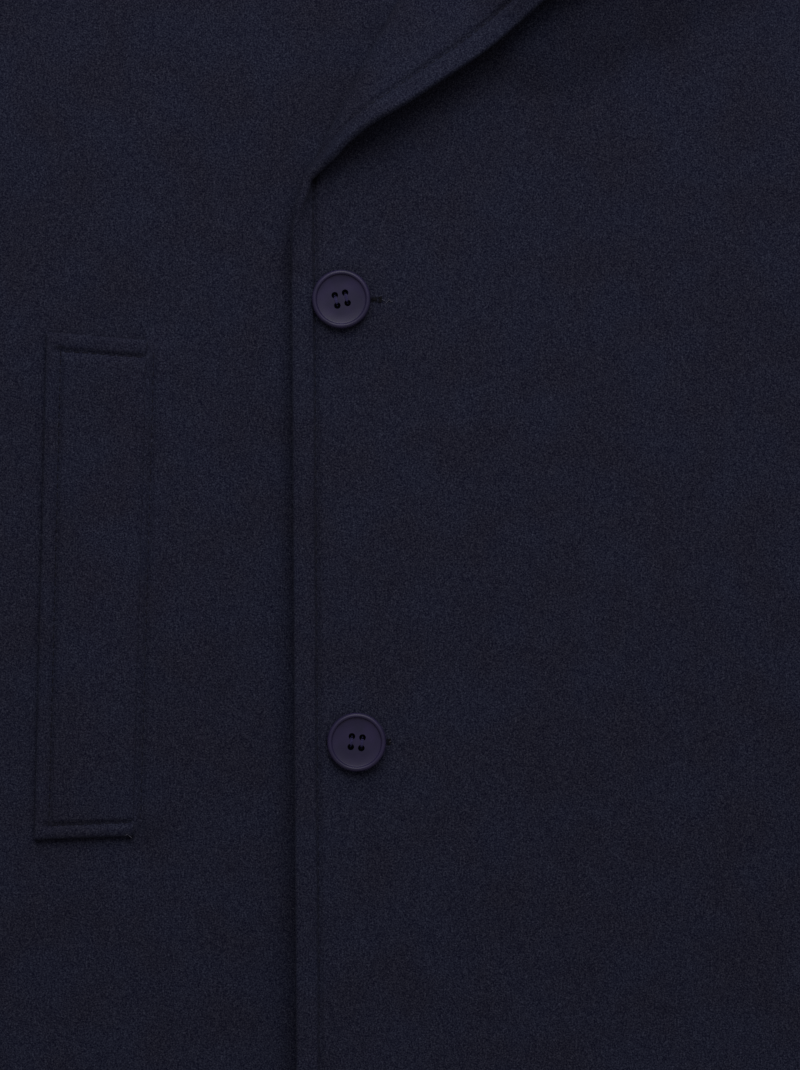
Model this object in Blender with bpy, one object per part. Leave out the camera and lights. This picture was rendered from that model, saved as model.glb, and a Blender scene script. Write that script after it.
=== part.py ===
"""Double-breasted wool overcoat, buttoned and laid out flat on its back.

The back panel and the under sleeves lie on the surface, the fronts and the top sleeves lie on
them, and the lapels, collar, pocket welts and buttons lie on the fronts. Every cloth piece is a
mid surface drawn through sections and given its thickness by a Solidify modifier.

Sizes are in millimetres and become metres when a point is placed. x runs to the wearer's left,
drop is the distance below the shoulder's neck point, and height is above the surface.
"""

import math
from collections import namedtuple

import bmesh
import bpy
from mathutils import Matrix, Vector

MM = 0.001

# The cloth
CLOTH = 3.2
BACK_CLOTH = 3.0
UNDER_SLEEVE_CLOTH = 2.6
WELT_CLOTH = 2.6
LAY_GAP = 0.4
SEAM_GAP = 0.4
FOLD_GAP = 1.2
LOFT = 2.2
LOFT_RUN = 80.0

# The body, as half widths and drops
HEM_DROP = 1000.0
BACK_HEM_DROP = 994.0
UNDERARM_DROP = 270.0
HEM_HALF = 316.0
UNDERARM_HALF = 290.0
NECK_HALF = 80.0
BACK_NECK_DROP = 20.0
SHOULDER_HALF = 235.0
SHOULDER_DROP = 48.0
SIDE_ROLL = 7.0
BACK_INSET = 8.0
ORIGIN_DROP = 485.0

# The front edge, how far it springs up from the under front, and the line that the lapel rolls on
EDGE_FROM_CENTRE = 104.0
EDGE_LIFT_FROM = 339.0
EDGE_LIFT_AT_BREAK = 1.5
EDGE_LIFT_GROWTH = 0.0175
EDGE_LIFT_MOST = 6.5
EDGE_LIFT_RUN = 46.0
ROLL_BREAK = (-101.0, 317.0)
ROLL_NECK = (78.0, -10.0)
ROLL_RADIUS = 3.6
UNDER_ROLL_RADIUS = 2.7
GORGE_ALONG = 275.0

# The overlap: what the over front climbs to pass the under front and the under lapel
UNDER_STEP = CLOTH + 0.6
UNDER_RUN = 42.0
UNDER_LAPEL_START = 118.0
UNDER_LAPEL_STEP = 2 * UNDER_ROLL_RADIUS + CLOTH + 3.0
UNDER_LAPEL_RUN = 46.0
UNDER_LAPEL_MARGIN = 14.0

# Sleeves
SLEEVE_LENGTH = 640.0
SLEEVE_SPREAD = math.radians(34.0)
UPPER_SLEEVE_WIDTH = 178.0
CUFF_WIDTH = 148.0
UNDERARM_CLEAR = 7.0
SLEEVE_LOFT = 2.0
SLEEVE_ROLL_SHARE = 0.042
UNDER_SLEEVE_INSET = 0.1
INNER_LAG = 2.0
SLEEVE_ROWS = 16

# Pocket welts, as seen on the wearer's right front
WELT_TOP_DROP = 373.0
WELT_BOTTOM_DROP = 549.0
WELT_TOP_X = (155.0, 190.5)
WELT_BOTTOM_X = (160.0, 195.5)

# Buttons
BUTTON_ACROSS = 20.5
BUTTON_THICK = 3.4
BUTTON_DISH = 0.9
BUTTON_RIM = 1.9
BUTTON_HOLE_ACROSS = 2.0
BUTTON_HOLE_SPACING = 3.7
BUTTON_SIDES = 24

Lapel = namedtuple("Lapel", "along skew length curl lift")
LAPEL_SECTIONS = [
    # along the roll line, how far the outer end runs ahead, cloth past the roll,
    # share of a half turn, lift of the outer edge
    Lapel(-12, 0, 1.4, 0.05, 0),
    Lapel(-4, 0, 5.4, 0.30, 0),
    Lapel(4, 0, 9.4, 0.62, 0),
    Lapel(13, 0, 13.4, 0.92, 0.5),
    Lapel(24, -1, 19.0, 1.0, 1.5),
    Lapel(46, -1, 31.5, 1.0, 4),
    Lapel(70, -2, 42.5, 1.0, 7),
    Lapel(97, -2, 53.0, 1.0, 9),
    Lapel(130, -6, 66.5, 1.0, 9),
    Lapel(165, -12, 79.0, 1.0, 8),
    Lapel(205, -22, 92.0, 1.0, 7),
    Lapel(240, -32, 98.5, 1.0, 5),
    Lapel(GORGE_ALONG, -43, 101.0, 1.0, 4),
]
CURL_POINTS = 7
FLAP_POINTS = 6

Collar = namedtuple(
    "Collar",
    "roll_x roll_drop roll_height seam_x seam_drop seam_height outer_x outer_drop outer_height",
)
COLLAR_BACK_SECTIONS = [
    # from the shoulder round to the centre back
    Collar(75.0, -6, 15.5, 75.0, 1.5, 5.4, 126, 4, 12.5),
    Collar(73.5, -15, 18, 69, 7.0, 5.2, 112, -19, 8.5),
    Collar(63, -20, 20, 57, 12.0, 5.2, 84, -33, 5),
    Collar(42, -21, 21.5, 39, 17, 5.2, 52, -35, 3),
    Collar(20, -20, 22, 19, 19.5, 5.2, 24, -33, 2),
    Collar(0, -19.5, 22, 0, 20.5, 5.2, 0, -32, 2),
]
GORGE_GAP = 1.2
CollarFront = namedtuple("CollarFront", "along outer_x outer_drop lift")
COLLAR_FRONT_SECTIONS = [
    # from the notch up to the shoulder
    CollarFront(GORGE_ALONG + GORGE_GAP, 102, 106.5, 4),
    CollarFront(296, 111, 84, 4.5),
    CollarFront(322, 119, 56, 5),
    CollarFront(346, 125, 28, 5),
]
NOTCH_SHARE = 0.5
COLLAR_LEG = 2.0

Fold = namedtuple("Fold", "along across turn length width height")
SLEEVE_FOLDS = [
    # along and across the sleeve as shares, turn in degrees from its length, then real sizes
    Fold(0.16, 0.70, 58, 130, 15, 3.0),
    Fold(0.27, 0.62, 48, 150, 17, 2.6),
    Fold(0.47, 0.36, -40, 120, 16, 2.2),
    Fold(0.62, 0.66, 62, 110, 15, 2.0),
    Fold(0.80, 0.40, 70, 100, 14, 1.6),
]

WOOL = ("navy_melton_wool", (0.012, 0.013, 0.024), 0.9)
BUTTON_PLASTIC = ("navy_moulded_plastic", (0.026, 0.024, 0.047), 0.45)


def smooth(share):
    """0 below 0, 1 above 1, and an even S between."""
    share = min(1.0, max(0.0, share))
    return share * share * (3 - 2 * share)


def mix(a, b, share):
    return a + (b - a) * share


def bezier(points, share):
    """A point on the cubic through four control points, each a tuple."""
    weights = (
        (1 - share) ** 3,
        3 * share * (1 - share) ** 2,
        3 * share**2 * (1 - share),
        share**3,
    )
    return tuple(sum(w * p[k] for w, p in zip(weights, points)) for k in range(len(points[0])))


def through(rows, steps):
    """Rows between the given rows of numbers, on a smooth curve that passes through each."""
    filled = []
    for i in range(len(rows) - 1):
        before, after = rows[max(i - 1, 0)], rows[min(i + 2, len(rows) - 1)]
        start, end = rows[i], rows[i + 1]
        for step in range(steps):
            t = step / steps
            filled.append(tuple(
                b + 0.5 * ((c - a) * t + (2 * a - 5 * b + 4 * c - d) * t**2 + (3 * b - a - 3 * c + d) * t**3)
                for a, b, c, d in zip(before, start, end, after)
            ))
    return filled + [tuple(rows[-1])]


def placed(x, drop, height):
    return Vector((x, ORIGIN_DROP - drop, height)) * MM


# The roll line's own directions, as (x, drop): along it to the neck, and outwards over the front
ROLL_RUN = math.dist(ROLL_BREAK, ROLL_NECK)
ALONG = ((ROLL_NECK[0] - ROLL_BREAK[0]) / ROLL_RUN, (ROLL_NECK[1] - ROLL_BREAK[1]) / ROLL_RUN)
OUTWARD = (-ALONG[1], ALONG[0])


def from_roll(along, out=0.0):
    """x and drop of a point along the over front's roll line and out from it."""
    return (
        ROLL_BREAK[0] + along * ALONG[0] + out * OUTWARD[0],
        ROLL_BREAK[1] + along * ALONG[1] + out * OUTWARD[1],
    )


def to_roll(x, drop):
    """How far along the over front's roll line and out from it a point is."""
    dx, dd = x - ROLL_BREAK[0], drop - ROLL_BREAK[1]
    return dx * ALONG[0] + dd * ALONG[1], dx * OUTWARD[0] + dd * OUTWARD[1]


ARMHOLE = ((SHOULDER_HALF, SHOULDER_DROP), (216.0, 120.0), (226.0, 228.0), (UNDERARM_HALF, UNDERARM_DROP))


def side_half(drop):
    """Half width of the body at the side seam."""
    return mix(UNDERARM_HALF, HEM_HALF, (drop - UNDERARM_DROP) / (HEM_DROP - UNDERARM_DROP))


def loft(x, drop):
    """How far the cloth stands off the layer under it, from nothing at the sides."""
    return LOFT * smooth((side_half(max(drop, UNDERARM_DROP)) - SIDE_ROLL - abs(x)) / LOFT_RUN)


def under_front_height(x, drop):
    """Mid height of the under front, and of any front that lies straight on the back."""
    return BACK_CLOTH + LAY_GAP + CLOTH / 2 + loft(x, drop)


def over_front_height(x, drop):
    """Mid height of the over front, which climbs over the under front and the under lapel."""
    along, out = to_roll(-x, drop)
    inside = smooth(1 + (out + UNDER_LAPEL_MARGIN) / UNDER_LAPEL_RUN)
    under_edge = smooth(1 - (x - EDGE_FROM_CENTRE - 3) / UNDER_RUN)
    on_front = UNDER_STEP * under_edge * inside
    lapel_reach = mix(60.0, 100.0, smooth((along - UNDER_LAPEL_START) / 110.0)) + UNDER_LAPEL_MARGIN
    beside = inside * smooth(1 - (out - lapel_reach) / UNDER_LAPEL_RUN)
    past_end = smooth(1 + (along - UNDER_LAPEL_START + UNDER_LAPEL_MARGIN) / UNDER_LAPEL_RUN)
    climb = max(on_front, UNDER_LAPEL_STEP * beside * past_end)
    return under_front_height(x, drop) + climb + edge_lift(x, drop)


def edge_lift(x, drop):
    """How far the over front's edge springs up from the under front, most below the buttons."""
    if x > 0:
        return 0.0
    lift = min(EDGE_LIFT_MOST, EDGE_LIFT_AT_BREAK + EDGE_LIFT_GROWTH * max(0.0, drop - EDGE_LIFT_FROM))
    lift *= smooth((drop - 300) / 45) * (1 - 0.6 * smooth((drop - 700) / 250))
    return lift * math.exp(-(((x + EDGE_FROM_CENTRE) / EDGE_LIFT_RUN) ** 2))


def clear_scene():
    for item in list(bpy.data.objects):
        bpy.data.objects.remove(item)


def material(look):
    name, colour, roughness = look
    made = bpy.data.materials.get(name) or bpy.data.materials.new(name)
    made.use_nodes = True
    shader = made.node_tree.nodes["Principled BSDF"]
    shader.inputs["Base Color"].default_value = (*colour, 1.0)
    shader.inputs["Roughness"].default_value = roughness
    shader.inputs["Metallic"].default_value = 0.0
    return made


def add_object(name, mesh, look):
    made = bpy.data.objects.new(name, mesh)
    made.data.materials.append(material(look))
    bpy.context.scene.collection.objects.link(made)
    return made


def cloth(name, sections, thickness):
    """A wall of cloth: a grid through sections of equal numbers of points, thickened evenly."""
    shape = bmesh.new()
    count = len(sections[0])
    bmesh.ops.create_grid(shape, x_segments=count - 1, y_segments=len(sections) - 1, size=1)
    shape.verts.ensure_lookup_table()
    for index, vert in enumerate(shape.verts):
        vert.co = sections[index // count][index % count]
    mesh = bpy.data.meshes.new(name)
    shape.to_mesh(mesh)
    shape.free()
    mesh.shade_smooth()
    mesh.set_sharp_from_angle(angle=math.radians(50))
    made = add_object(name, mesh, WOOL)
    wall = made.modifiers.new("wall", "SOLIDIFY")
    wall.thickness = thickness * MM
    wall.offset = 0.0
    wall.use_even_offset = True
    return made


def rolled_edge(height, share):
    """(distance from the edge, mid height) along an edge that turns down to the surface."""
    turn = share * math.pi / 2
    floor = CLOTH / 2 + LAY_GAP
    return SIDE_ROLL * (1 - math.cos(turn)), floor + (height - floor) * math.sin(turn)


# Shares of the roll at the points of a turned edge, and shares down the armhole where the front's
# sections and the sleeve's lengthwise lines both end, so that their seam is one line
EDGE_SHARES = (0.0, 0.38, 0.7, 1.0)
ROLL_ENDS = [SLEEVE_ROLL_SHARE * rolled_edge(0.0, turn)[0] / SIDE_ROLL for turn in EDGE_SHARES]
ARM_SHARES = (
    [(share, turn) for share, turn in zip(ROLL_ENDS, EDGE_SHARES)]
    + [(mix(SLEEVE_ROLL_SHARE, 1 - SLEEVE_ROLL_SHARE, k / 8), 1.0) for k in range(1, 8)]
    + [(1 - share, turn) for share, turn in zip(reversed(ROLL_ENDS), reversed(EDGE_SHARES))]
)
UNDER_ARM_SHARES = [mix(UNDER_SLEEVE_INSET, 1 - UNDER_SLEEVE_INSET, k / 6) for k in range(7)]


# Back

def back_top_drop(x):
    """Drop of the back's top edge: the neckline, then the shoulder, which the fronts roll over."""
    slope = SHOULDER_DROP / (SHOULDER_HALF - NECK_HALF)
    shoulder = BACK_INSET + slope * (abs(x) - NECK_HALF)
    return max(shoulder, mix(BACK_NECK_DROP - 3, BACK_INSET / 2, smooth(abs(x) / NECK_HALF)))


def back_rows():
    """(outer x, outer drop, share of the way to the top edge) from the hem to the shoulder."""
    rows = []
    for drop in (BACK_HEM_DROP, 800, 600, 400, UNDERARM_DROP + 12):
        rows.append((side_half(drop) - BACK_INSET, drop, 0.0))
    for k, share in enumerate(reversed(UNDER_ARM_SHARES)):
        x, drop = bezier(ARMHOLE, share)
        rows.append((x - SEAM_GAP, drop, smooth(k / 6)))
    return rows


def make_back():
    sections = []
    for outer_x, outer_drop, rise in back_rows():
        section = []
        for k in range(-8, 9):
            x = outer_x * k / 8
            drop = outer_drop + rise * (back_top_drop(x) - back_top_drop(outer_x))
            section.append(placed(x, drop, BACK_CLOTH / 2))
        sections.append(section)
    cloth("back", sections, BACK_CLOTH)


# Fronts

def front_inner(drop, radius):
    """x of the over front's inner boundary: its edge, then the inset line of the roll."""
    inset = radius + CLOTH / 2 + 2 * SEAM_GAP
    if drop < from_roll(GORGE_ALONG)[1] + 20:
        inset = ROLL_RADIUS + CLOTH / 2 + COLLAR_LEG + 2 * SEAM_GAP
    along = (drop - ROLL_BREAK[1] - inset * OUTWARD[1]) / ALONG[1]
    return max(-EDGE_FROM_CENTRE, from_roll(along, inset)[0])


FRONT_TOP_INNER = 9.0


def front_rows():
    """(inner drop, outer x, outer drop, share of the side's roll, share of the shoulder's roll)."""
    rows = []
    for drop in (HEM_DROP, 870, 740, 620, 520, 450, 390, 350, 334, 320, 304, 288):
        rows.append((drop, side_half(drop), drop, smooth((drop - UNDERARM_DROP) / 40), 1.0))
    for share, turn in reversed(ARM_SHARES):
        x, drop = bezier(ARMHOLE, share)
        shoulder_turn = turn if share < 0.5 else 1.0
        rows.append((mix(FRONT_TOP_INNER, UNDERARM_DROP + 2, share), x - SEAM_GAP, drop, 0.0, shoulder_turn))
    return rows


def front_columns(inner, outer):
    """x of each point across a front, and its share of the roll at the side."""
    flat_end = outer - SIDE_ROLL
    under_end = min(EDGE_FROM_CENTRE + 3, mix(inner, flat_end, 0.6))
    columns = [(mix(inner, under_end, k / 6), 1.0) for k in range(6)]
    columns += [(mix(under_end, flat_end, k / 5), 1.0) for k in range(5)]
    return columns + [(outer - rolled_edge(0.0, turn)[0], turn) for turn in reversed(EDGE_SHARES)]


def make_front(name, side, height, radius):
    sections = []
    for inner_drop, outer_x, outer_drop, side_share, shoulder_turn in front_rows():
        inner_x = front_inner(inner_drop, radius)
        section = []
        for x, side_turn in front_columns(inner_x, outer_x):
            drop = mix(inner_drop, outer_drop, (x - inner_x) / (outer_x - inner_x))
            flat = height(side * x, drop)
            at_side = mix(flat, rolled_edge(flat, side_turn)[1], side_share)
            level = min(at_side, rolled_edge(flat, shoulder_turn)[1])
            section.append(placed(side * x, drop, level))
        sections.append(section)
    cloth(name, sections, CLOTH)


# Lapels

def lapel_runs(length, curled):
    """Distances over the cloth from the roll's start: round the curl, then out over the flap."""
    curl = min(length, curled)
    runs = [curl * k / CURL_POINTS for k in range(CURL_POINTS)]
    return runs + [mix(curl, length, k / FLAP_POINTS) for k in range(FLAP_POINTS + 1)]


def make_lapel(name, side, height, radius, first_along, lift_share):
    """The turned-back top of a front: a curl on the roll line, then a flap over the front."""
    sections = []
    start = radius + CLOTH / 2
    for along, skew, length, curl, lift in through(LAPEL_SECTIONS, 2):
        if along < first_along:
            continue
        turn = curl * math.pi
        flap = max(length - radius * math.pi, 4.0)
        root_x, root_drop = from_roll(along, start)
        root_height = height(side * root_x, root_drop)
        section = []
        for run in lapel_runs(length, min(radius * turn, 0.8 * length)):
            angle = min(run / radius, turn)
            past = max(0.0, run - radius * turn)
            back = -radius * math.sin(angle) - past * math.cos(turn)
            level = root_height + radius * (1 - math.cos(angle)) + past * math.sin(turn)
            level += lift * lift_share * smooth(past / flap)
            x, drop = from_roll(along + skew * max(back, 0.0) / flap, start + back)
            if angle > math.pi / 2 and back > 0:
                level = max(level, height(side * x, drop) + CLOTH + FOLD_GAP)
            section.append(placed(side * x, drop, level))
        sections.append(section)
    cloth(name, sections, CLOTH)


# Collar

def hairpin(low, high, bulge, points):
    """Points round a fold from low to high that bulges out by a vector."""
    controls = (tuple(low), tuple(low + bulge), tuple(high + bulge), tuple(high))
    return [Vector(bezier(controls, k / points)) for k in range(points + 1)]


def collar_front_section(row):
    """From the neck seam over the roll line to the outer edge, on the front."""
    along, outer_x, outer_drop, lift = row
    start = ROLL_RADIUS + CLOTH / 2
    seam_x, seam_drop = from_roll(along, start + COLLAR_LEG)
    low_x, low_drop = from_roll(along, start)
    level = under_front_height(low_x, low_drop)
    low = Vector((low_x, low_drop, level))
    high = Vector((low_x, low_drop, level + 2 * ROLL_RADIUS))
    bulge = Vector((-OUTWARD[0], -OUTWARD[1], 0)) * ROLL_RADIUS * 4 / 3
    outer = Vector((outer_x, outer_drop, level + 2 * ROLL_RADIUS + lift))
    return Vector((seam_x, seam_drop, level)), low, high, bulge, outer


def collar_back_section(row):
    """From the neck seam up the stand and down the fall, behind the neck."""
    row = Collar(*row)
    seam = Vector((row.seam_x, row.seam_drop, row.seam_height))
    top = Vector((row.roll_x, row.roll_drop, row.roll_height))
    outer = Vector((row.outer_x, row.outer_drop, row.outer_height))
    stand, fall = (top - seam).normalized(), (top - outer).normalized()
    low = top - stand * 4.0 - fall * 0.4
    high = top - fall * 4.0 - stand * 0.4
    bulge = (stand + fall) * 2.2
    return seam, low, high, bulge, outer


def collar_sections():
    """The right half of the collar, from the notch to the centre back."""
    fronts = [collar_front_section(row) for row in COLLAR_FRONT_SECTIONS]
    backs = [collar_back_section(row) for row in COLLAR_BACK_SECTIONS]
    packed = [tuple(v for point in row for v in point) for row in fronts + backs]
    return [tuple(Vector(row[k:k + 3]) for k in range(0, 15, 3)) for row in through(packed, 2)]


def make_collar():
    half = []
    rows = collar_sections()
    start = ROLL_RADIUS + CLOTH / 2
    flap = LAPEL_SECTIONS[-1].length - ROLL_RADIUS * math.pi
    gorge = LAPEL_SECTIONS[-1].skew * NOTCH_SHARE + GORGE_GAP
    gorge_x, gorge_drop = from_roll(GORGE_ALONG + gorge, start + flap * NOTCH_SHARE)
    for index, (seam, low, high, bulge, outer) in enumerate(rows):
        notch = Vector((gorge_x, gorge_drop, mix(high.z, outer.z, NOTCH_SHARE)))
        straight = high.lerp(outer, NOTCH_SHARE)
        bend = straight.lerp(notch, smooth(1 - index / 4))
        fall = [high.lerp(bend, k / 3) for k in range(1, 4)] + [bend.lerp(outer, k / 3) for k in range(1, 4)]
        half.append([seam, *hairpin(low, high, bulge, 6), *fall])
    whole = half + [[Vector((-p.x, p.y, p.z)) for p in row] for row in reversed(half[:-1])]
    cloth("collar", [[placed(*point) for point in row] for row in whole], CLOTH)


# Sleeves

SLEEVE_HEAD = tuple(
    (x + SEAM_GAP + UNDERARM_CLEAR * k / 3, drop - 2 * k / 3) for k, (x, drop) in enumerate(ARMHOLE)
)
DOWN_SLEEVE = (math.sin(SLEEVE_SPREAD), math.cos(SLEEVE_SPREAD))
ACROSS_SLEEVE = (-DOWN_SLEEVE[1], DOWN_SLEEVE[0])


def stepped(point, direction, distance):
    return tuple(a + b * distance for a, b in zip(point, direction))


UPPER_OUTER = stepped(SLEEVE_HEAD[3], ACROSS_SLEEVE, -UPPER_SLEEVE_WIDTH)
CUFF_OUTER = stepped(UPPER_OUTER, DOWN_SLEEVE, SLEEVE_LENGTH - math.dist(SLEEVE_HEAD[0], UPPER_OUTER))
CUFF_INNER = stepped(CUFF_OUTER, ACROSS_SLEEVE, CUFF_WIDTH)
SLEEVE_OUTER = (SLEEVE_HEAD[0], (385.0, 86.0), stepped(CUFF_OUTER, DOWN_SLEEVE, -250.0), CUFF_OUTER)
SLEEVE_INNER = (
    SLEEVE_HEAD[3],
    stepped(SLEEVE_HEAD[3], DOWN_SLEEVE, 140.0),
    stepped(CUFF_INNER, DOWN_SLEEVE, -130.0),
    CUFF_INNER,
)


def sleeve_point(along, across):
    """x and drop inside the sleeve's four edges: head, outer fold, inner fold and cuff.

    The inner fold is shorter, so its points lag and the lines across stay square to the sleeve.
    """
    head, outer = bezier(SLEEVE_HEAD, across), bezier(SLEEVE_OUTER, along)
    inner = bezier(SLEEVE_INNER, along**INNER_LAG)
    cuff = [mix(a, b, across) for a, b in zip(CUFF_OUTER, CUFF_INNER)]
    chord = [mix(a, b, across) for a, b in zip(SLEEVE_HEAD[0], SLEEVE_HEAD[3])]
    return tuple(
        mix(outer[k], inner[k], across) + mix(head[k], cuff[k], along) - mix(chord[k], cuff[k], along)
        for k in range(2)
    )


def fold_height(along, across):
    """Height that the sleeve's folds add at a point, each a soft ridge that fades at its ends."""
    x, drop = sleeve_point(along, across)
    height = 0.0
    for fold in SLEEVE_FOLDS:
        mid_x, mid_drop = sleeve_point(fold.along, fold.across)
        turn = math.radians(fold.turn) - SLEEVE_SPREAD
        dx, dd = x - mid_x, drop - mid_drop
        run, off = dd * math.cos(turn) + dx * math.sin(turn), dx * math.cos(turn) - dd * math.sin(turn)
        height += fold.height * math.exp(-((off / fold.width) ** 2)) * smooth(2 - 4 * abs(run) / fold.length)
    return height


def make_sleeve_top(name, side):
    """The upper half of a sleeve, with both folds turned down to the surface below the underarm."""
    flat = BACK_CLOTH + LAY_GAP + CLOTH / 2
    sections = []
    for k in range(SLEEVE_ROWS + 1):
        along = k / SLEEVE_ROWS
        section = []
        for across, turn in ARM_SHARES:
            x, drop = sleeve_point(along, across)
            inside = smooth((min(across, 1 - across) - SLEEVE_ROLL_SHARE) / 0.3)
            crown = mix(loft(x, UNDERARM_DROP), SLEEVE_LOFT * inside, smooth(along / 0.2))
            fold = fold_height(along, across) * smooth(inside * 4) * smooth(along / 0.06)
            height = flat + crown + fold
            turned = rolled_edge(height, turn)[1]
            inner_share = 1.0 if across < 0.5 else smooth((along - 0.55) / 0.3)
            section.append(placed(side * x, drop, mix(height, turned, inner_share)))
        sections.append(section)
    cloth(name, sections, CLOTH)


def make_sleeve_under(name, side):
    """The lower half of a sleeve, flat on the surface inside the folds of the upper half."""
    sections = []
    for k in range(9):
        points = (sleeve_point(0.994 * k / 8, across) for across in UNDER_ARM_SHARES)
        sections.append([placed(side * x, drop, UNDER_SLEEVE_CLOTH / 2) for x, drop in points])
    cloth(name, sections, UNDER_SLEEVE_CLOTH)


# Pocket welts

def make_welt(name, side, height):
    """A strip on a front, made from the front's own points moved out."""
    sections = []
    for k in range(11):
        down = k / 10
        drop = mix(WELT_TOP_DROP, WELT_BOTTOM_DROP, down)
        inner, outer = mix(WELT_TOP_X[0], WELT_BOTTOM_X[0], down), mix(WELT_TOP_X[1], WELT_BOTTOM_X[1], down)
        section = []
        for j in range(5):
            x = mix(inner, outer, j / 4)
            level = height(side * x, drop) + CLOTH / 2 + LAY_GAP + WELT_CLOTH / 2
            section.append(placed(side * x, drop, level))
        sections.append(section)
    cloth(name, sections, WELT_CLOTH)


# Buttons

Button = namedtuple("Button", "name x drop turn")
BUTTONS = [
    Button("button_upper_right", -87.7, 361.0, -14),
    Button("button_lower_right", -82.3, 515.4, 6),
    Button("button_upper_left", 86.0, 361.0, 20),
    Button("button_lower_left", 86.0, 515.4, -8),
]


def button_profile():
    """(radius, height) from the middle of the top, over the rim and round to the middle below."""
    radius = BUTTON_ACROSS / 2
    dish = BUTTON_THICK - BUTTON_DISH
    return [
        (0, dish),
        (radius - BUTTON_RIM - 0.7, dish),
        (radius - BUTTON_RIM, BUTTON_THICK - 0.15),
        (radius - BUTTON_RIM * 0.55, BUTTON_THICK),
        (radius - 0.5, BUTTON_THICK - 0.35),
        (radius, BUTTON_THICK * 0.55),
        (radius - 0.6, 0.7),
        (radius * 0.72, 0),
        (0, 0),
    ]


def make_button(row):
    shape = bmesh.new()
    profile = [shape.verts.new((r * MM, 0, h * MM)) for r, h in button_profile()]
    edges = [shape.edges.new(pair) for pair in zip(profile, profile[1:])]
    bmesh.ops.spin(
        shape, geom=profile + edges, axis=(0, 0, 1), cent=(0, 0, 0),
        steps=BUTTON_SIDES, angle=math.tau, use_merge=True,
    )
    bmesh.ops.remove_doubles(shape, verts=shape.verts, dist=1e-6)
    bmesh.ops.recalc_face_normals(shape, faces=shape.faces)
    mesh = bpy.data.meshes.new(row.name)
    shape.to_mesh(mesh)
    shape.free()
    mesh.shade_smooth()
    mesh.set_sharp_from_angle(angle=math.radians(40))
    made = add_object(row.name, mesh, BUTTON_PLASTIC)
    seat = max(
        over_front_height(row.x + BUTTON_ACROSS / 2 * math.cos(a), row.drop + BUTTON_ACROSS / 2 * math.sin(a))
        for a in (k * math.tau / 16 for k in range(16))
    )
    made.location = placed(row.x, row.drop, seat + CLOTH / 2 + LAY_GAP)
    made.rotation_euler.z = math.radians(row.turn)
    made.modifiers.new("thread_holes", "BOOLEAN").object = button_holes(row, made)


def button_holes(row, button):
    """The four thread holes of a button as one cutter."""
    shape = bmesh.new()
    half = BUTTON_HOLE_SPACING / 2
    for x, y in ((half, half), (half, -half), (-half, half), (-half, -half)):
        bmesh.ops.create_cone(
            shape, cap_ends=True, segments=8, radius1=BUTTON_HOLE_ACROSS / 2 * MM,
            radius2=BUTTON_HOLE_ACROSS / 2 * MM, depth=3 * BUTTON_THICK * MM,
            matrix=Matrix.Translation((x * MM, y * MM, BUTTON_THICK / 2 * MM)),
        )
    mesh = bpy.data.meshes.new(row.name + "_holes")
    shape.to_mesh(mesh)
    shape.free()
    cutter = add_object(row.name + "_holes", mesh, BUTTON_PLASTIC)
    cutter.location, cutter.rotation_euler = button.location, button.rotation_euler
    cutter.hide_render = True
    cutter.display_type = "WIRE"
    return cutter


def main():
    clear_scene()
    make_back()
    make_front("front_right", -1, under_front_height, UNDER_ROLL_RADIUS)
    make_front("front_left", 1, over_front_height, ROLL_RADIUS)
    make_lapel("lapel_right", -1, under_front_height, UNDER_ROLL_RADIUS, UNDER_LAPEL_START, 0.15)
    make_lapel("lapel_left", 1, over_front_height, ROLL_RADIUS, -20.0, 1.0)
    make_collar()
    for side, word in ((1, "left"), (-1, "right")):
        make_sleeve_under("sleeve_under_" + word, side)
        make_sleeve_top("sleeve_top_" + word, side)
    make_welt("welt_right", -1, under_front_height)
    make_welt("welt_left", 1, over_front_height)
    for row in BUTTONS:
        make_button(row)


main()
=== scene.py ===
"""Looks of the double-breasted wool overcoat that lies flat on its back.

Every cloth piece is a thin shell on the form of its solids, with rounded edges, stitched grooves and
creases. Sewing, buttonholes and the moulded buttons are added on the cloth. Sizes are in millimetres
and become metres when a point is placed: x runs to the wearer's left, drop is the distance below the
shoulder's neck point, and height is above the surface.
"""

import math
from collections import namedtuple

import bmesh
import bpy
from mathutils import Matrix, Vector, noise


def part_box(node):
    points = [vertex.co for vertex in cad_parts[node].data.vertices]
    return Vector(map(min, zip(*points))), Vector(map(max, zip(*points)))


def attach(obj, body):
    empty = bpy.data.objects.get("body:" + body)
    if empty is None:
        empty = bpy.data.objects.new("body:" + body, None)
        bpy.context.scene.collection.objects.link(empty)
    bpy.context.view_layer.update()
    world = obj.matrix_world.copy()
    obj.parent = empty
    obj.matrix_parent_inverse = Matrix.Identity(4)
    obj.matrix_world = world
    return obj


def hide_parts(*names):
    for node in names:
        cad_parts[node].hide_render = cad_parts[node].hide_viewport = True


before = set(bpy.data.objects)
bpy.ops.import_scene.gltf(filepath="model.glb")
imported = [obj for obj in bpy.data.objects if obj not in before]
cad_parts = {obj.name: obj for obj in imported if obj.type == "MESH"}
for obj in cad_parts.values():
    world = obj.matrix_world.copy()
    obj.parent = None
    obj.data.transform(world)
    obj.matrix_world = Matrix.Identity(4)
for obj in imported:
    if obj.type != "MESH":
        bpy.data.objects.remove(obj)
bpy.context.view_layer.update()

MM = 0.001
ORIGIN_DROP = 485.0

# The photograph's frame, and where a pixel lies on the coat
PHOTO_SIZE = (800, 1070)
MM_PER_PIXEL = 0.35
CENTRE_FRONT_PIXEL = 592.0
TOP_DROP = 256.0
CAMERA_HEIGHT = 1600.0
FRAME_PLANE = 11.0

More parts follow.
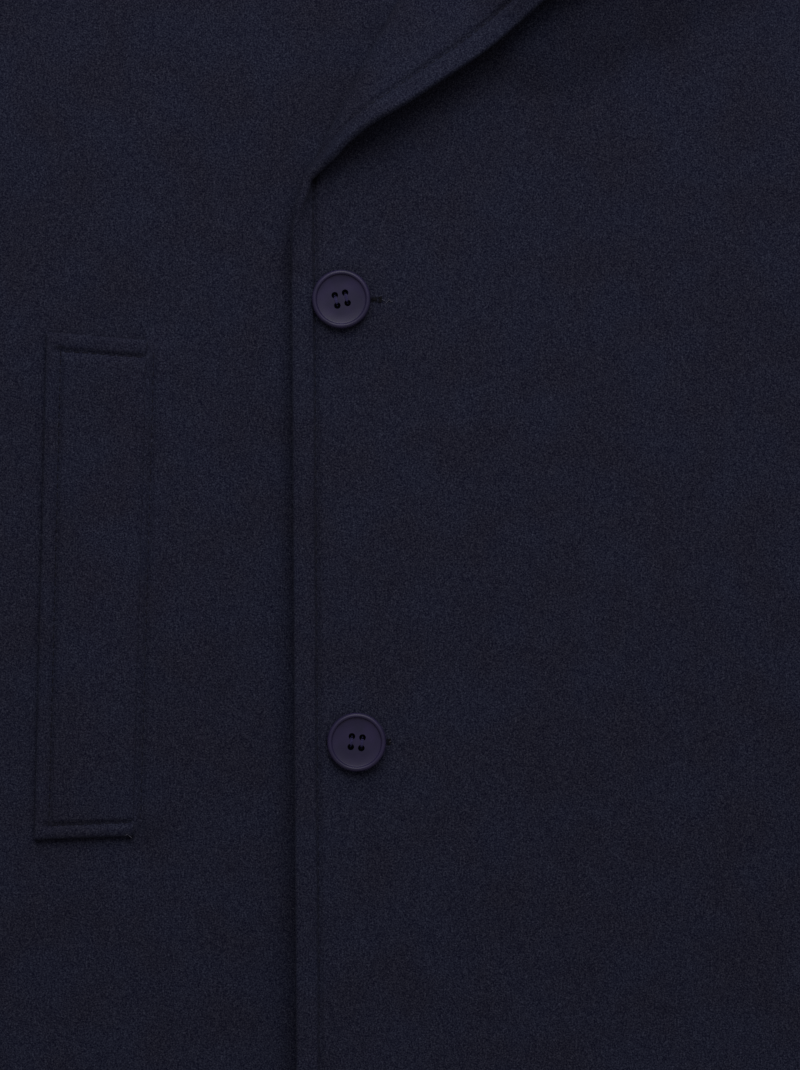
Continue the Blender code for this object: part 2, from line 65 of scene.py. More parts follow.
# The cloth
CLOTH = 3.2
BACK_CLOTH = 3.0
UNDER_SLEEVE_CLOTH = 2.6
WELT_CLOTH = 2.6
LAY_GAP = 0.4
FOLD_GAP = 1.2
LOFT = 2.2
LOFT_RUN = 80.0
EDGE_ROUND = 2.4
EDGE_RIM = 0.14
EDGE_PAD = 0.6
EDGE_PAD_LIFT = 0.9
EDGE_PAD_MIDDLE = 3.8
EDGE_PAD_HALF = 4.6
UNDER_EDGE_PRESS = 0.5
UNDER_EDGE_PRESS_RUN = 4.0

# Topstitching
STITCH_FROM_EDGE = 8.0
STITCH_DIP = 0.8
STITCH_DIP_WIDTH = 1.1
STITCH_SPACING = 3.1
STITCH_LENGTH = 2.5
STITCH_THREAD = 0.2
STITCH_STANDS = 0.3 * STITCH_THREAD
STITCH_FROM_HEM = 4.0

# The body
HEM_DROP = 1000.0
BACK_HEM_DROP = 994.0
UNDERARM_DROP = 270.0
HEM_HALF = 316.0
UNDERARM_HALF = 290.0
NECK_HALF = 80.0
BACK_NECK_DROP = 20.0
SHOULDER_HALF = 235.0
SHOULDER_DROP = 48.0
SIDE_ROLL = 7.0
SIDE_ROLL_RUN = 40.0
SIDE_EDGE_SHARE = 0.6
CREASE_FADE = 30.0
BACK_INSET = 8.0
FRONT_TOP_INNER = 9.0

# The front edge, which leans in a little towards the hem, and the line that the lapel rolls on
EDGE_FROM_CENTRE = 104.0
EDGE_AT_BREAK = -105.1
EDGE_LEAN = 0.0065
EDGE_LEAN_FROM = 339.0
EDGE_LIFT_AT_BREAK = 1.5
EDGE_LIFT_GROWTH = 0.0175
EDGE_LIFT_MOST = 6.5
EDGE_LIFT_RUN = 46.0
EDGE_LIFT_RISE = (300.0, 45.0)
EDGE_EASE = 0.6
EDGE_EASE_RISE = (700.0, 250.0)
ROLL_BREAK = (-101.0, 317.0)
ROLL_NECK = (78.0, -10.0)
ROLL_RADIUS = 3.6
UNDER_ROLL_RADIUS = 2.7
GORGE_ALONG = 275.0
STRIP_X = -91.0
CURL_TOP_DROP = 350.0
BREAK_RADIUS = 2.5
BREAK_RADIUS_TO = 36.0
HINGE_X = -98.0

# The overlap: what the over front climbs to pass the under front and the under lapel
UNDER_STEP = CLOTH + 0.6
UNDER_RUN = 42.0
UNDER_EDGE_MARGIN = 3.0
UNDER_LAPEL_START = 118.0
UNDER_LAPEL_STEP = 2 * UNDER_ROLL_RADIUS + CLOTH + 3.0
UNDER_LAPEL_RUN = 46.0
UNDER_LAPEL_MARGIN = 14.0
UNDER_LAPEL_REACH = (60.0, 100.0)
UNDER_LAPEL_WIDENS = 110.0
OVER_LAPEL_START = -60.0
OVER_LAPEL_LIFT = 1.0
UNDER_LAPEL_LIFT = 0.15

# The hollow in the under front beside the over front's edge, with its width and depth at top and foot
HOLLOW_RISE = (320.0, 30.0)
HOLLOW_GROWS_FROM = 340.0
HOLLOW_GROWS_RUN = 290.0
HOLLOW_WIDTH = (5.0, 14.0)
HOLLOW_DEPTH = (0.8, 1.6)
HOLLOW_UNDER = 10.0
HOLLOW_UNDER_RUN = 40.0

# Sleeves
SEAM_GAP = 0.4
SLEEVE_LENGTH = 640.0
SLEEVE_SPREAD = math.radians(34.0)
UPPER_SLEEVE_WIDTH = 178.0
CUFF_WIDTH = 148.0
UNDERARM_CLEAR = 7.0
SLEEVE_LOFT = 2.0
SLEEVE_ROLL_SHARE = 0.042
UNDER_SLEEVE_INSET = 0.1
INNER_LAG = 2.0

Lapel = namedtuple("Lapel", "along skew length curl lift")
LAPEL_SECTIONS = [
    # along the roll line, how far the outer end runs ahead, cloth past the roll,
    # share of a half turn, lift of the outer edge
    Lapel(-37, 0, 0.0, 0.0, 0),
    Lapel(-30, 0, 0.0, 0.02, 0),
    Lapel(-22, 0, 0.0, 0.09, 0),
    Lapel(-15, 0, 0.0, 0.22, 0),
    Lapel(-8, 0, 4.0, 0.43, 0),
    Lapel(0, 0, 9.6, 0.60, 0),
    Lapel(8, 0, 13.6, 0.645, 0),
    Lapel(15.4, 0, 17.0, 0.67, 0),
    Lapel(25.7, 0, 21.8, 0.755, 0.3),
    Lapel(36, -1, 26.8, 0.845, 1),
    Lapel(48, -1, 32.2, 0.92, 2.5),
    Lapel(70, -2, 42.5, 0.98, 6),
    Lapel(97, -2, 53.0, 1.0, 9),
    Lapel(130, -6, 66.5, 1.0, 9),
    Lapel(165, -12, 79.0, 1.0, 8),
    Lapel(205, -22, 92.0, 1.0, 7),
    Lapel(240, -32, 98.5, 1.0, 5),
    Lapel(GORGE_ALONG, -43, 101.0, 1.0, 4),
]

Collar = namedtuple(
    "Collar", "roll_x roll_drop roll_height seam_x seam_drop seam_height outer_x outer_drop outer_height"
)
COLLAR_BACK_SECTIONS = [
    # from the shoulder round to the centre back
    Collar(75.0, -6, 15.5, 75.0, 1.5, 5.4, 126, 4, 12.5),
    Collar(73.5, -15, 18, 69, 7.0, 5.2, 112, -19, 8.5),
    Collar(63, -20, 20, 57, 12.0, 5.2, 84, -33, 5),
    Collar(42, -21, 21.5, 39, 17, 5.2, 52, -35, 3),
    Collar(20, -20, 22, 19, 19.5, 5.2, 24, -33, 2),
    Collar(0, -19.5, 22, 0, 20.5, 5.2, 0, -32, 2),
]
GORGE_GAP = 1.2
CollarFront = namedtuple("CollarFront", "along outer_x outer_drop lift")
COLLAR_FRONT_SECTIONS = [
    # from the notch up to the shoulder
    CollarFront(GORGE_ALONG + GORGE_GAP, 102, 106.5, 4),
    CollarFront(296, 111, 84, 4.5),
    CollarFront(322, 119, 56, 5),
    CollarFront(346, 125, 28, 5),
]
NOTCH_SHARE = 0.5
COLLAR_LEG = 2.0

Fold = namedtuple("Fold", "along across turn length width height")
SLEEVE_FOLDS = [
    # along and across the sleeve as shares, turn in degrees from its length, then real sizes
    Fold(0.16, 0.70, 58, 130, 15, 3.0),
    Fold(0.27, 0.62, 48, 150, 17, 2.6),
    Fold(0.47, 0.36, -40, 120, 16, 2.2),
    Fold(0.62, 0.66, 62, 110, 15, 2.0),
    Fold(0.80, 0.40, 70, 100, 14, 1.6),
    Fold(0.21, 0.80, 66, 90, 7, 1.1),
    Fold(0.35, 0.74, 52, 80, 6, -0.9),
    Fold(0.40, 0.58, -46, 95, 8, 1.0),
    Fold(0.53, 0.50, 38, 90, 7, -0.9),
    Fold(0.70, 0.48, -58, 85, 7, 0.9),
    Fold(0.90, 0.66, 50, 60, 8, 0.7),
]
Wave = namedtuple("Wave", "height size seed")
BODY_WAVES = (Wave(1.0, 105, 3), Wave(0.26, 36, 9))
LAPEL_WAVE = Wave(0.5, 40, 7)
LAPEL_WAVE_RUN = 30.0
SLEEVE_WAVE = Wave(0.3, 60, 11)
WELT_WAVE = Wave(0.25, 30, 21)
STITCH_SWAY = Wave(0.12, 1.7, 5)
BUTTONHOLE_SWAY = Wave(0.15, 2, 31)
BodyFold = namedtuple("BodyFold", "x drop turn length width height")
BODY_FOLDS = [
    # on both fronts and mirrored, outside the photograph's frame: below the arms and on the skirt
    BodyFold(232, 262, 52, 130, 12, 1.3),
    BodyFold(246, 292, 40, 120, 9, -0.8),
    BodyFold(226, 322, 34, 150, 14, 1.1),
    BodyFold(205, 700, 7, 260, 22, 1.1),
    BodyFold(262, 770, -6, 300, 18, -0.9),
    BodyFold(168, 880, 4, 220, 20, 0.9),
    BodyFold(292, 520, 12, 200, 12, 0.8),
    BodyFold(40, 845, -5, 260, 24, 0.8),
]


# Small sums

def smooth(share):
    """0 below 0, 1 above 1, and an even S between."""
    share = min(1.0, max(0.0, share))
    return share * share * (3 - 2 * share)


def ramped(value, start, run):
    """0 up to a start, 1 past a run from it, and an even S between."""
    return smooth((value - start) / run)


def mix(a, b, share):
    return a + (b - a) * share


def bell(distance, width):
    """1 in the middle, falling off evenly on both sides."""
    return math.exp(-((distance / width) ** 2))


def quarter_round(share):
    """0 at 0, 1 from 1 on, and a quarter circle between."""
    share = min(1.0, max(0.0, share))
    return math.sqrt(1 - (1 - share) ** 2)


def bezier(points, share):
    """A point on the cubic through four control points, each a tuple."""
    weights = (
        (1 - share) ** 3,
        3 * share * (1 - share) ** 2,
        3 * share**2 * (1 - share),
        share**3,
    )
    return tuple(sum(w * p[k] for w, p in zip(weights, points)) for k in range(len(points[0])))


def through(rows, steps):
    """Rows between the given rows of numbers, on a smooth curve that passes through each."""
    filled = []
    for i in range(len(rows) - 1):
        before, after = rows[max(i - 1, 0)], rows[min(i + 2, len(rows) - 1)]
        start, end = rows[i], rows[i + 1]
        for step in range(steps):
            t = step / steps
            filled.append(tuple(
                0.5 * (2 * b + (c - a) * t + (2 * a - 5 * b + 4 * c - d) * t**2
                       + (3 * b - a - 3 * c + d) * t**3)
                for a, b, c, d in zip(before, start, end, after)
            ))
    return filled + [tuple(rows[-1])]


def row_at(table, value):
    """The rest of a table's row at a value of its first column, on a smooth curve through the rows."""
    value = min(max(value, table[0][0]), table[-1][0])
    i = max(k for k in range(len(table) - 1) if table[k][0] <= value)
    near = [table[max(i - 1, 0)], table[i], table[i + 1], table[min(i + 2, len(table) - 1)]]
    span = near[2][0] - near[1][0]
    t = (value - near[1][0]) / span
    found = []
    for a, b, c, d in list(zip(*near))[1:]:
        leave = span * (c - a) / (near[2][0] - near[0][0])
        arrive = span * (d - b) / (near[3][0] - near[1][0])
        found.append(
            (2 * t**3 - 3 * t**2 + 1) * b + (t**3 - 2 * t**2 + t) * leave
            + (3 * t**2 - 2 * t**3) * c + (t**3 - t**2) * arrive
        )
    return found


def steps(start, end, spacing):
    """Even values from start to end, about a spacing apart."""
    count = max(1, round(abs(end - start) / spacing))
    return [mix(start, end, k / count) for k in range(count + 1)]


def placed(x, drop, height):
    return Vector((x, ORIGIN_DROP - drop, height)) * MM


def pixel_place(px, py):
    """x and drop of a pixel of the photograph."""
    return (px - CENTRE_FRONT_PIXEL) * MM_PER_PIXEL, TOP_DROP + py * MM_PER_PIXEL


def waved(wave, x, drop):
    """A soft unevenness at a point, with waves of a given height and size."""
    return wave.height * noise.noise(Vector((x / wave.size, drop / wave.size, wave.seed)))


def ridge(x, drop, mid_x, mid_drop, turn, fold):
    """Height of one soft fold at a point: round across, fading at both ends."""
    dx, dd = x - mid_x, drop - mid_drop
    run = dd * math.cos(turn) + dx * math.sin(turn)
    off = dx * math.cos(turn) - dd * math.sin(turn)
    return fold.height * bell(off, fold.width) * smooth(2 - 4 * abs(run) / fold.length)


# The heights that the layers lie at

ROLL_RUN = math.dist(ROLL_BREAK, ROLL_NECK)
ALONG = ((ROLL_NECK[0] - ROLL_BREAK[0]) / ROLL_RUN, (ROLL_NECK[1] - ROLL_BREAK[1]) / ROLL_RUN)
OUTWARD = (-ALONG[1], ALONG[0])
ROLL_LEAN = math.atan2(OUTWARD[1], OUTWARD[0])
ARMHOLE_PULLS = ((216.0, 120.0), (226.0, 228.0))
ARMHOLE = ((SHOULDER_HALF, SHOULDER_DROP), *ARMHOLE_PULLS, (UNDERARM_HALF, UNDERARM_DROP))
# The sleeve's head follows the armhole closely and clears the side of the body at the underarm
HEAD_CLEAR_SHARES = (0.0, 0.03, 0.12, 1.0)
HEAD_RISE = 2.0
SLEEVE_HEAD = tuple(
    (x + SEAM_GAP / 2 + UNDERARM_CLEAR * clear, drop - HEAD_RISE * k / 3)
    for k, ((x, drop), clear) in enumerate(zip(ARMHOLE, HEAD_CLEAR_SHARES))
)


def from_roll(along, out=0.0):
    """x and drop of a point along the over front's roll line and out from it."""
    return (
        ROLL_BREAK[0] + along * ALONG[0] + out * OUTWARD[0],
        ROLL_BREAK[1] + along * ALONG[1] + out * OUTWARD[1],
    )


def to_roll(x, drop):
    """How far along the over front's roll line and out from it a point is."""
    dx, dd = x - ROLL_BREAK[0], drop - ROLL_BREAK[1]
    return dx * ALONG[0] + dd * ALONG[1], dx * OUTWARD[0] + dd * OUTWARD[1]


def side_half(drop):
    """Half width of the body at the side seam."""
    return mix(UNDERARM_HALF, HEM_HALF, (drop - UNDERARM_DROP) / (HEM_DROP - UNDERARM_DROP))


def from_side(x, drop):
    """Distance in from where the body's side starts to turn down."""
    return side_half(max(drop, UNDERARM_DROP)) - SIDE_ROLL - abs(x)


def edge_x(drop):
    """x of the over front's edge."""
    return EDGE_AT_BREAK + EDGE_LEAN * (drop - EDGE_LEAN_FROM)


def button_place(node):
    """x and drop of a button's middle."""
    low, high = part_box(node)
    return (low[0] + high[0]) / 2 / MM, ORIGIN_DROP - (low[1] + high[1]) / 2 / MM


# The buttons, and how far each is turned in degrees
BUTTON_TURNS = {
    "button_upper_right": 14,
    "button_lower_right": -6.5,
    "button_upper_left": 20,
    "button_lower_left": -10,
}
BUTTON_PLACES = [button_place(node) for node in BUTTON_TURNS]
BUTTON_CUSHION = 0.7
BUTTON_CUSHION_RADIUS = 13.0
BUTTON_CUSHION_WIDTH = 3.6
# Creases fade out near a button: none up to a distance from it, and all of them a run further out
BUTTON_HELD = (11.0, 12.0)


def from_button(x, drop):
    """Distance to the middle of the nearest button."""
    return min(math.dist((x, drop), place) for place in BUTTON_PLACES)


def cushioned(distance):
    """How far the soft cloth swells round the rim of a sewn button."""
    return BUTTON_CUSHION * bell(distance - BUTTON_CUSHION_RADIUS, BUTTON_CUSHION_WIDTH)


def creased(x, drop):
    """Height of the body's creases and of its general unevenness."""
    folds = 0.0
    for fold in BODY_FOLDS:
        if abs(abs(x) - fold.x) < fold.length:
            folds += ridge(abs(x), drop, fold.x, fold.drop, math.radians(fold.turn), fold)
    inside = smooth(from_side(x, drop) / CREASE_FADE)
    wavy = sum(waved(wave, x, drop) for wave in BODY_WAVES)
    distance = from_button(x, drop)
    return inside * (ramped(distance, *BUTTON_HELD) * (folds + wavy) + cushioned(distance))


def under_front_height(x, drop):
    """Mid height of the under front, and of any front that lies straight on the back."""
    loft = LOFT * smooth(from_side(x, drop) / LOFT_RUN)
    return BACK_CLOTH + LAY_GAP + CLOTH / 2 + loft


def over_front_height(x, drop):
    """Mid height of the over front, which climbs over the under front and the under lapel."""
    along, out = to_roll(-x, drop)
    inside = smooth(1 + (out + UNDER_LAPEL_MARGIN) / UNDER_LAPEL_RUN)
    under_edge = smooth(1 - (x - EDGE_FROM_CENTRE - UNDER_EDGE_MARGIN) / UNDER_RUN)
    on_front = UNDER_STEP * under_edge * inside
    widened = ramped(along, UNDER_LAPEL_START, UNDER_LAPEL_WIDENS)
    lapel_reach = mix(*UNDER_LAPEL_REACH, widened) + UNDER_LAPEL_MARGIN
    beside = inside * smooth(1 - (out - lapel_reach) / UNDER_LAPEL_RUN)
    past_end = smooth(1 + (along - UNDER_LAPEL_START + UNDER_LAPEL_MARGIN) / UNDER_LAPEL_RUN)
    climb = max(on_front, UNDER_LAPEL_STEP * beside * past_end)
    return under_front_height(x, drop) + climb + edge_lift(x, drop)


def edge_lift(x, drop):
    """How far the over front's edge springs up from the under front, most below the buttons."""
    if x > 0:
        return 0.0
    lift = min(EDGE_LIFT_MOST, EDGE_LIFT_AT_BREAK + EDGE_LIFT_GROWTH * max(0.0, drop - EDGE_LEAN_FROM))
    lift *= ramped(drop, *EDGE_LIFT_RISE) * (1 - EDGE_EASE * ramped(drop, *EDGE_EASE_RISE))
    return lift * bell(x + EDGE_FROM_CENTRE, EDGE_LIFT_RUN)


def lying(height, x, drop):
    """Mid height of a front with its creases, given the function for the height that it lies at."""
    return height(x, drop) + creased(x, drop)


def turned_down(height, distance, reach):
    """Mid height near an edge that turns down to the surface in a quarter round."""
    floor = CLOTH / 2 + LAY_GAP
    return floor + (height - floor) * quarter_round(distance / reach)


def edge_wall(distance):
    """Share of the cloth's thickness near a cut or folded edge, for a round edge."""
    return EDGE_RIM + (1 - EDGE_RIM) * quarter_round(distance / EDGE_ROUND)


def stitch_wall(distance):
    """Share of the cloth's thickness at a distance from a line of stitches."""
    return 1 - STITCH_DIP * bell(distance, STITCH_DIP_WIDTH)


# Distances from a topstitched edge that its round, its pad and its groove need
STITCHED_EDGE = [
    11.4, 10.2, 9.4, 8.8, 8.4, 8.0, 7.6, 7.2, 6.6, 5.6, 4.4, 3.3, 2.4, 1.6, 1.0, 0.5, 0.15, 0.0,
]


def edge_pad(distance):
    """How much of the seam allowance inside a topstitched edge pads it out, from 0 to 1."""
    return max(0.0, 1 - ((distance - EDGE_PAD_MIDDLE) / EDGE_PAD_HALF) ** 2)


def stitched_edge_wall(distance):
    """Share of thickness by a topstitched edge: round rim, full pad, then the groove."""
    pad = 1 + EDGE_PAD * edge_pad(distance)
    return edge_wall(distance) * pad * stitch_wall(distance - STITCH_FROM_EDGE)


# How far above the middle of the cloth the thread lies in a topstitched edge's groove
EDGE_STITCH_LIE = CLOTH / 2 * stitched_edge_wall(STITCH_FROM_EDGE) + STITCH_STANDS


# Materials

def linear(code):
    """An sRGB hex value as linear RGBA."""
    parts = [int(code[k:k + 2], 16) / 255 for k in (1, 3, 5)]
    return tuple(c / 12.92 if c <= 0.04045 else ((c + 0.055) / 1.055) ** 2.4 for c in parts) + (1.0,)


def set_inputs(tree, node, inputs):
    """Sets a node's inputs, each a value or another node's output."""
    for name, value in inputs.items():
        if isinstance(value, bpy.types.NodeSocket):
            tree.links.new(value, node.inputs[name])
        else:
            node.inputs[name].default_value = value


def add_node(tree, kind, inputs, output=0, stops=(), **settings):
    """Adds a node with its inputs, a ramp's stops and its settings, and returns one of its outputs."""
    made = tree.nodes.new(kind)
    for name, value in settings.items():
        setattr(made, name, value)
    for k, (position, shade) in enumerate(stops):
        made.color_ramp.elements[k].position = position
        made.color_ramp.elements[k].color = shade
    set_inputs(tree, made, inputs)
    return made.outputs[output]


def start_material(name):
    """A new material, its tree, its shader and the place of a point on the coat."""
    made = bpy.data.materials.new(name)
    made.use_nodes = True
    tree = made.node_tree
    return made, tree, tree.nodes["Principled BSDF"], add_node(tree, "ShaderNodeTexCoord", {}, "Object")


# Feature sizes in millimetres. A wool fibre and a thread's ply are finer than this and wouldn't show, so
# they are drawn coarser
FELT_GRAIN = 0.5
FELT_FUZZ = 0.5
FELT_CLOUD = 20.0
FIBRE_WIDTH = 0.4
FIBRE_LENGTH = 2.6
THREAD_PLY = 0.3
BUTTON_CLOUD = 6.0
BUTTON_GRIT = 0.4
PAPER_CLOUD = 300.0
# Turn of the noises against the coat, because a level plane of a noise is weaker than a slanting one
OBLIQUE = (0.62, 0.48, 0.3)
FIBRE_TURN = (0.4, 0.1, math.radians(24))
# Shades of a thread between its plies and on them
PLY_SHADES = (0.6, 1.35)


def melton_wool():
    """Melton: wool woven, felted and brushed, so no weave shows, only mottled fibres with a soft bloom."""
    made, tree, shader, flat = start_material("felted_melton_wool")
    place = add_node(tree, "ShaderNodeMapping", {"Vector": flat, "Rotation": OBLIQUE})
    cloud = add_node(
        tree, "ShaderNodeTexNoise", {"Vector": place, "Scale": 1 / (FELT_CLOUD * MM), "Detail": 3.0}, "Fac"
    )
    grain = add_node(
        tree, "ShaderNodeTexNoise",
        {"Vector": place, "Scale": 1 / (FELT_GRAIN * MM), "Detail": 3.0, "Roughness": 0.65}, "Fac",
    )
    fuzz = add_node(
        tree, "ShaderNodeTexNoise",
        {"Vector": place, "Scale": 1 / (FELT_FUZZ * MM), "Detail": 3.0, "Roughness": 0.7}, "Fac",
    )
    thin, long = 1 / (FIBRE_WIDTH * MM), 1 / (FIBRE_LENGTH * MM)
    stretch = add_node(
        tree, "ShaderNodeMapping", {"Vector": flat, "Rotation": FIBRE_TURN, "Scale": (thin, long, thin)}
    )
    fibre = add_node(tree, "ShaderNodeTexNoise", {"Vector": stretch, "Scale": 1.0, "Detail": 2.0}, "Fac")
    stops = ((0.36, linear("#faf5ee")), (0.64, linear("#fbffff")))
    tone = add_node(tree, "ShaderNodeValToRGB", {"Fac": cloud}, "Color", stops)
    spread = add_node(tree, "ShaderNodeMapRange", {"Value": grain, "From Min": 0.2, "From Max": 0.8})
    speck = add_node(tree, "ShaderNodeMath", {0: spread, 1: 2.1}, operation="POWER")
    strand = add_node(
        tree, "ShaderNodeMapRange",
        {"Value": fibre, "From Min": 0.3, "From Max": 0.75, "To Min": 0.8, "To Max": 1.35},
    )
    both = add_node(tree, "ShaderNodeMath", {0: speck, 1: strand}, operation="MULTIPLY")
    shades = {"Factor": both, "A": linear("#040415"), "B": linear("#383a4a")}
    blend = add_node(tree, "ShaderNodeMix", shades, "Result", data_type="RGBA")
    pile = add_node(tree, "ShaderNodeMath", {0: fuzz, 1: fibre}, operation="ADD")
    set_inputs(tree, shader, {
        "Base Color": add_node(tree, "ShaderNodeVectorMath", {0: tone, 1: blend}, operation="MULTIPLY"),
        "Normal": add_node(
            tree, "ShaderNodeBump", {"Strength": 0.55, "Distance": 0.25 * MM, "Height": pile}
        ),
        "Roughness": 0.95,
        "Specular IOR Level": 0.02,
        "Sheen Weight": 0.03,
        "Sheen Roughness": 0.5,
        "Sheen Tint": linear("#7d86ad"),
    })
    return made


def sewing_thread(name, code):
    """Polyester thread: two fine plies twisted together, with a faint gloss."""
    made, tree, shader, place = start_material(name)
    ply = add_node(
        tree, "ShaderNodeTexNoise", {"Vector": place, "Scale": 1 / (THREAD_PLY * MM), "Detail": 2.0}, "Fac"
    )
    low, high = [(*(c * shade for c in linear(code)[:3]), 1.0) for shade in PLY_SHADES]
    stops = ((0.3, low), (0.7, high))
    set_inputs(tree, shader, {
        "Base Color": add_node(tree, "ShaderNodeValToRGB", {"Fac": ply}, "Color", stops),
        "Normal": add_node(tree, "ShaderNodeBump", {"Strength": 0.4, "Distance": 0.1 * MM, "Height": ply}),
        "Roughness": 0.8,
        "Specular IOR Level": 0.08,
    })
    return made


def moulded_button_plastic():
    """Polyester button: turned and tumbled, with a satin face and faint cloudy tone."""
    made, tree, shader, place = start_material("tumbled_polyester_button")
    cloud = add_node(
        tree, "ShaderNodeTexNoise", {"Vector": place, "Scale": 1 / (BUTTON_CLOUD * MM), "Detail": 3.0}, "Fac"
    )
    grit = add_node(
        tree, "ShaderNodeTexNoise", {"Vector": place, "Scale": 1 / (BUTTON_GRIT * MM), "Detail": 2.0}, "Fac"
    )
    stops = ((0.35, linear("#1b182f")), (0.65, linear("#201b36")))
    set_inputs(tree, shader, {
        "Base Color": add_node(tree, "ShaderNodeValToRGB", {"Fac": cloud}, "Color", stops),
        "Roughness": add_node(tree, "ShaderNodeMapRange", {"Value": grit, "To Min": 0.34, "To Max": 0.5}),
        "Normal": add_node(
            tree, "ShaderNodeBump", {"Strength": 0.12, "Distance": 0.05 * MM, "Height": grit}
        ),
        "IOR": 1.45,
        "Specular IOR Level": 0.22,
    })
    return made


def studio_paper():
    """Pale matt backdrop paper, very slightly mottled."""
    made, tree, shader, place = start_material("pale_backdrop_paper")
    cloud = add_node(
        tree, "ShaderNodeTexNoise", {"Vector": place, "Scale": 1 / (PAPER_CLOUD * MM), "Detail": 2.0}, "Fac"
    )
    stops = ((0.0, linear("#c4c3c0")), (1.0, linear("#cbcac7")))
    tone = add_node(tree, "ShaderNodeValToRGB", {"Fac": cloud}, "Color", stops)
    set_inputs(tree, shader, {"Base Color": tone, "Roughness": 0.9})
    return made


WOOL = melton_wool()
# Navy thread, darkened past its own colour so that it also paints the shade of the grooves it lies in
SEAM_THREAD_AND_GROOVE_SHADE = sewing_thread("navy_seam_thread_and_groove_shade", "#11111a")
BUTTON_THREAD = sewing_thread("navy_button_thread", "#2a2745")
# Very dark twist for the buttonhole's rows and bar, and for the painted shade in its slit
HOLE_THREAD_AND_SLIT_SHADE = sewing_thread("navy_buttonhole_twist_and_slit_shade", "#0a0a10")
# Thread ends in a lighter grey: a painted highlight for the light that they catch
LOOSE_THREAD_PAINTED_HIGHLIGHT = sewing_thread("thread_end_painted_highlight", "#3c3c48")
BUTTON_PLASTIC = moulded_button_plastic()


# Making pieces

def add_thing(name, data):
    made = bpy.data.objects.new(name, data)
    bpy.context.scene.collection.objects.link(made)
    return made


def add_shape(name, shape):
    """Turns a bmesh into a thing in the scene."""
    mesh = bpy.data.meshes.new(name)
    shape.to_mesh(mesh)
    shape.free()
    return add_thing(name, mesh)


def finish_piece(name, shape, material, nodes=()):
    """Turns a bmesh into a piece of the coat that rides with it and stands for its nodes."""
    made = add_shape(name, shape)
    made.data.shade_smooth()
    made.data.materials.append(material)
    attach(made, "root")
    if nodes:
        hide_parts(*nodes)
    return made


def cloth(name, sections, thickness, nodes):
    """A shell of wool: sections are rows of (point, share of the thickness), or None for no cloth."""
    shape = bmesh.new()
    count = len(sections[0])
    bmesh.ops.create_grid(shape, x_segments=count - 1, y_segments=len(sections) - 1, size=1)
    shape.verts.ensure_lookup_table()
    walls = shape.verts.layers.deform.verify()
    bare = []
    for index, vert in enumerate(shape.verts):
        spot = sections[index // count][index % count]
        if spot is None:
            bare.append(vert)
            continue
        vert.co, vert[walls][0] = spot
    bmesh.ops.delete(shape, geom=bare, context="VERTS")
    made = finish_piece(name, shape, WOOL, nodes)
    made.vertex_groups.new(name="wall")
    wall = made.modifiers.new("wall", "SOLIDIFY")
    wall.thickness = thickness * MM
    wall.offset = 0.0
    wall.vertex_group = "wall"
    wall.use_quality_normals = True
    return made


def walk(path, spacing):
    """(point, direction) at even spacing along a path of points."""
    spots = []
    left = spacing / 2
    for start, end in zip(path, path[1:]):
        span = (end - start).length
        while left <= span and span > 0:
            spots.append((start.lerp(end, left / span), (end - start).normalized()))
            left += spacing
        left -= span
    return spots


STRAND_SEGMENTS = 6
STRAND_RINGS = 5


def add_strand(shape, middle, direction, length, thick):
    """One short strand of thread that lies along a direction."""
    turn = direction.to_track_quat("X", "Z").to_matrix().to_4x4()
    size = Matrix.Diagonal((length / 2 * MM, thick * MM, thick * MM, 1))
    bmesh.ops.create_uvsphere(
        shape, u_segments=STRAND_SEGMENTS, v_segments=STRAND_RINGS, radius=1,
        matrix=Matrix.Translation(middle) @ turn @ size,
    )


def stitch_line(name, paths):
    """Topstitching along paths on the cloth's face."""
    shape = bmesh.new()
    for path in paths:
        for index, (middle, direction) in enumerate(walk(path, STITCH_SPACING * MM)):
            sway = waved(STITCH_SWAY, index, len(path))
            middle = middle + Vector((sway, sway, 0)) * MM
            add_strand(shape, middle, direction, STITCH_LENGTH, STITCH_THREAD)
    return finish_piece(name, shape, SEAM_THREAD_AND_GROOVE_SHADE)


# Fronts with their lapels

Corner = namedtuple("Corner", "x drop")
WELT_SEAM_TOP, WELT_FREE_TOP = Corner(155.6, 375.0), Corner(191.0, 372.2)
WELT_SEAM_FOOT, WELT_FREE_FOOT = Corner(160.5, 548.6), Corner(195.3, 550.0)
WELT_TOP_STITCH = 6.3
WELT_FOOT_STITCH = 4.9
WELT_FREE_STITCH = 5.2
WELT_SEAM_STITCH = 2.3
WELT_RISE = 2.3
WELT_RISE_RUN = 16.0
WELT_RISE_FALL = 0.9
WELT_REACH_PAST = 3.0
WELT_REACH_RUN = 8.0
WELT_TALL = WELT_FREE_FOOT.drop - WELT_FREE_TOP.drop
WELT_WIDE = WELT_FREE_TOP.x - WELT_SEAM_TOP.x

# Columns of points across a front, in runs: to the buttons' line, to the welt, by its seam, to the side
# and round it
BUTTON_LINE = 88.0
OVER_COLUMNS = 30
OVER_CLOSING_UP = 1.5
UNDER_COLUMNS = (16, 26)
WELT_COLUMNS = (
    -16, -12, -9, -7, -5.4, -4.2, -3.4, -2.8, -2.3, -1.8, -1.3, -0.8, -0.4, 0, 0.3, 0.6, 0.9, 2.0, 5.0,
)
SIDE_COLUMNS = 14
SIDE_ROUND_COLUMNS = 8
# Columns of the strip that rolls back, and the least share of it inside the stitched edge
STRIP_COLUMNS = 12
STRIP_COUNT = 2 * STRIP_COLUMNS + len(STITCHED_EDGE) - 1
STRIP_INNER_SHARE = 0.25
# The least length that the flap past the roll is taken to have
LEAST_FLAP = 4.0

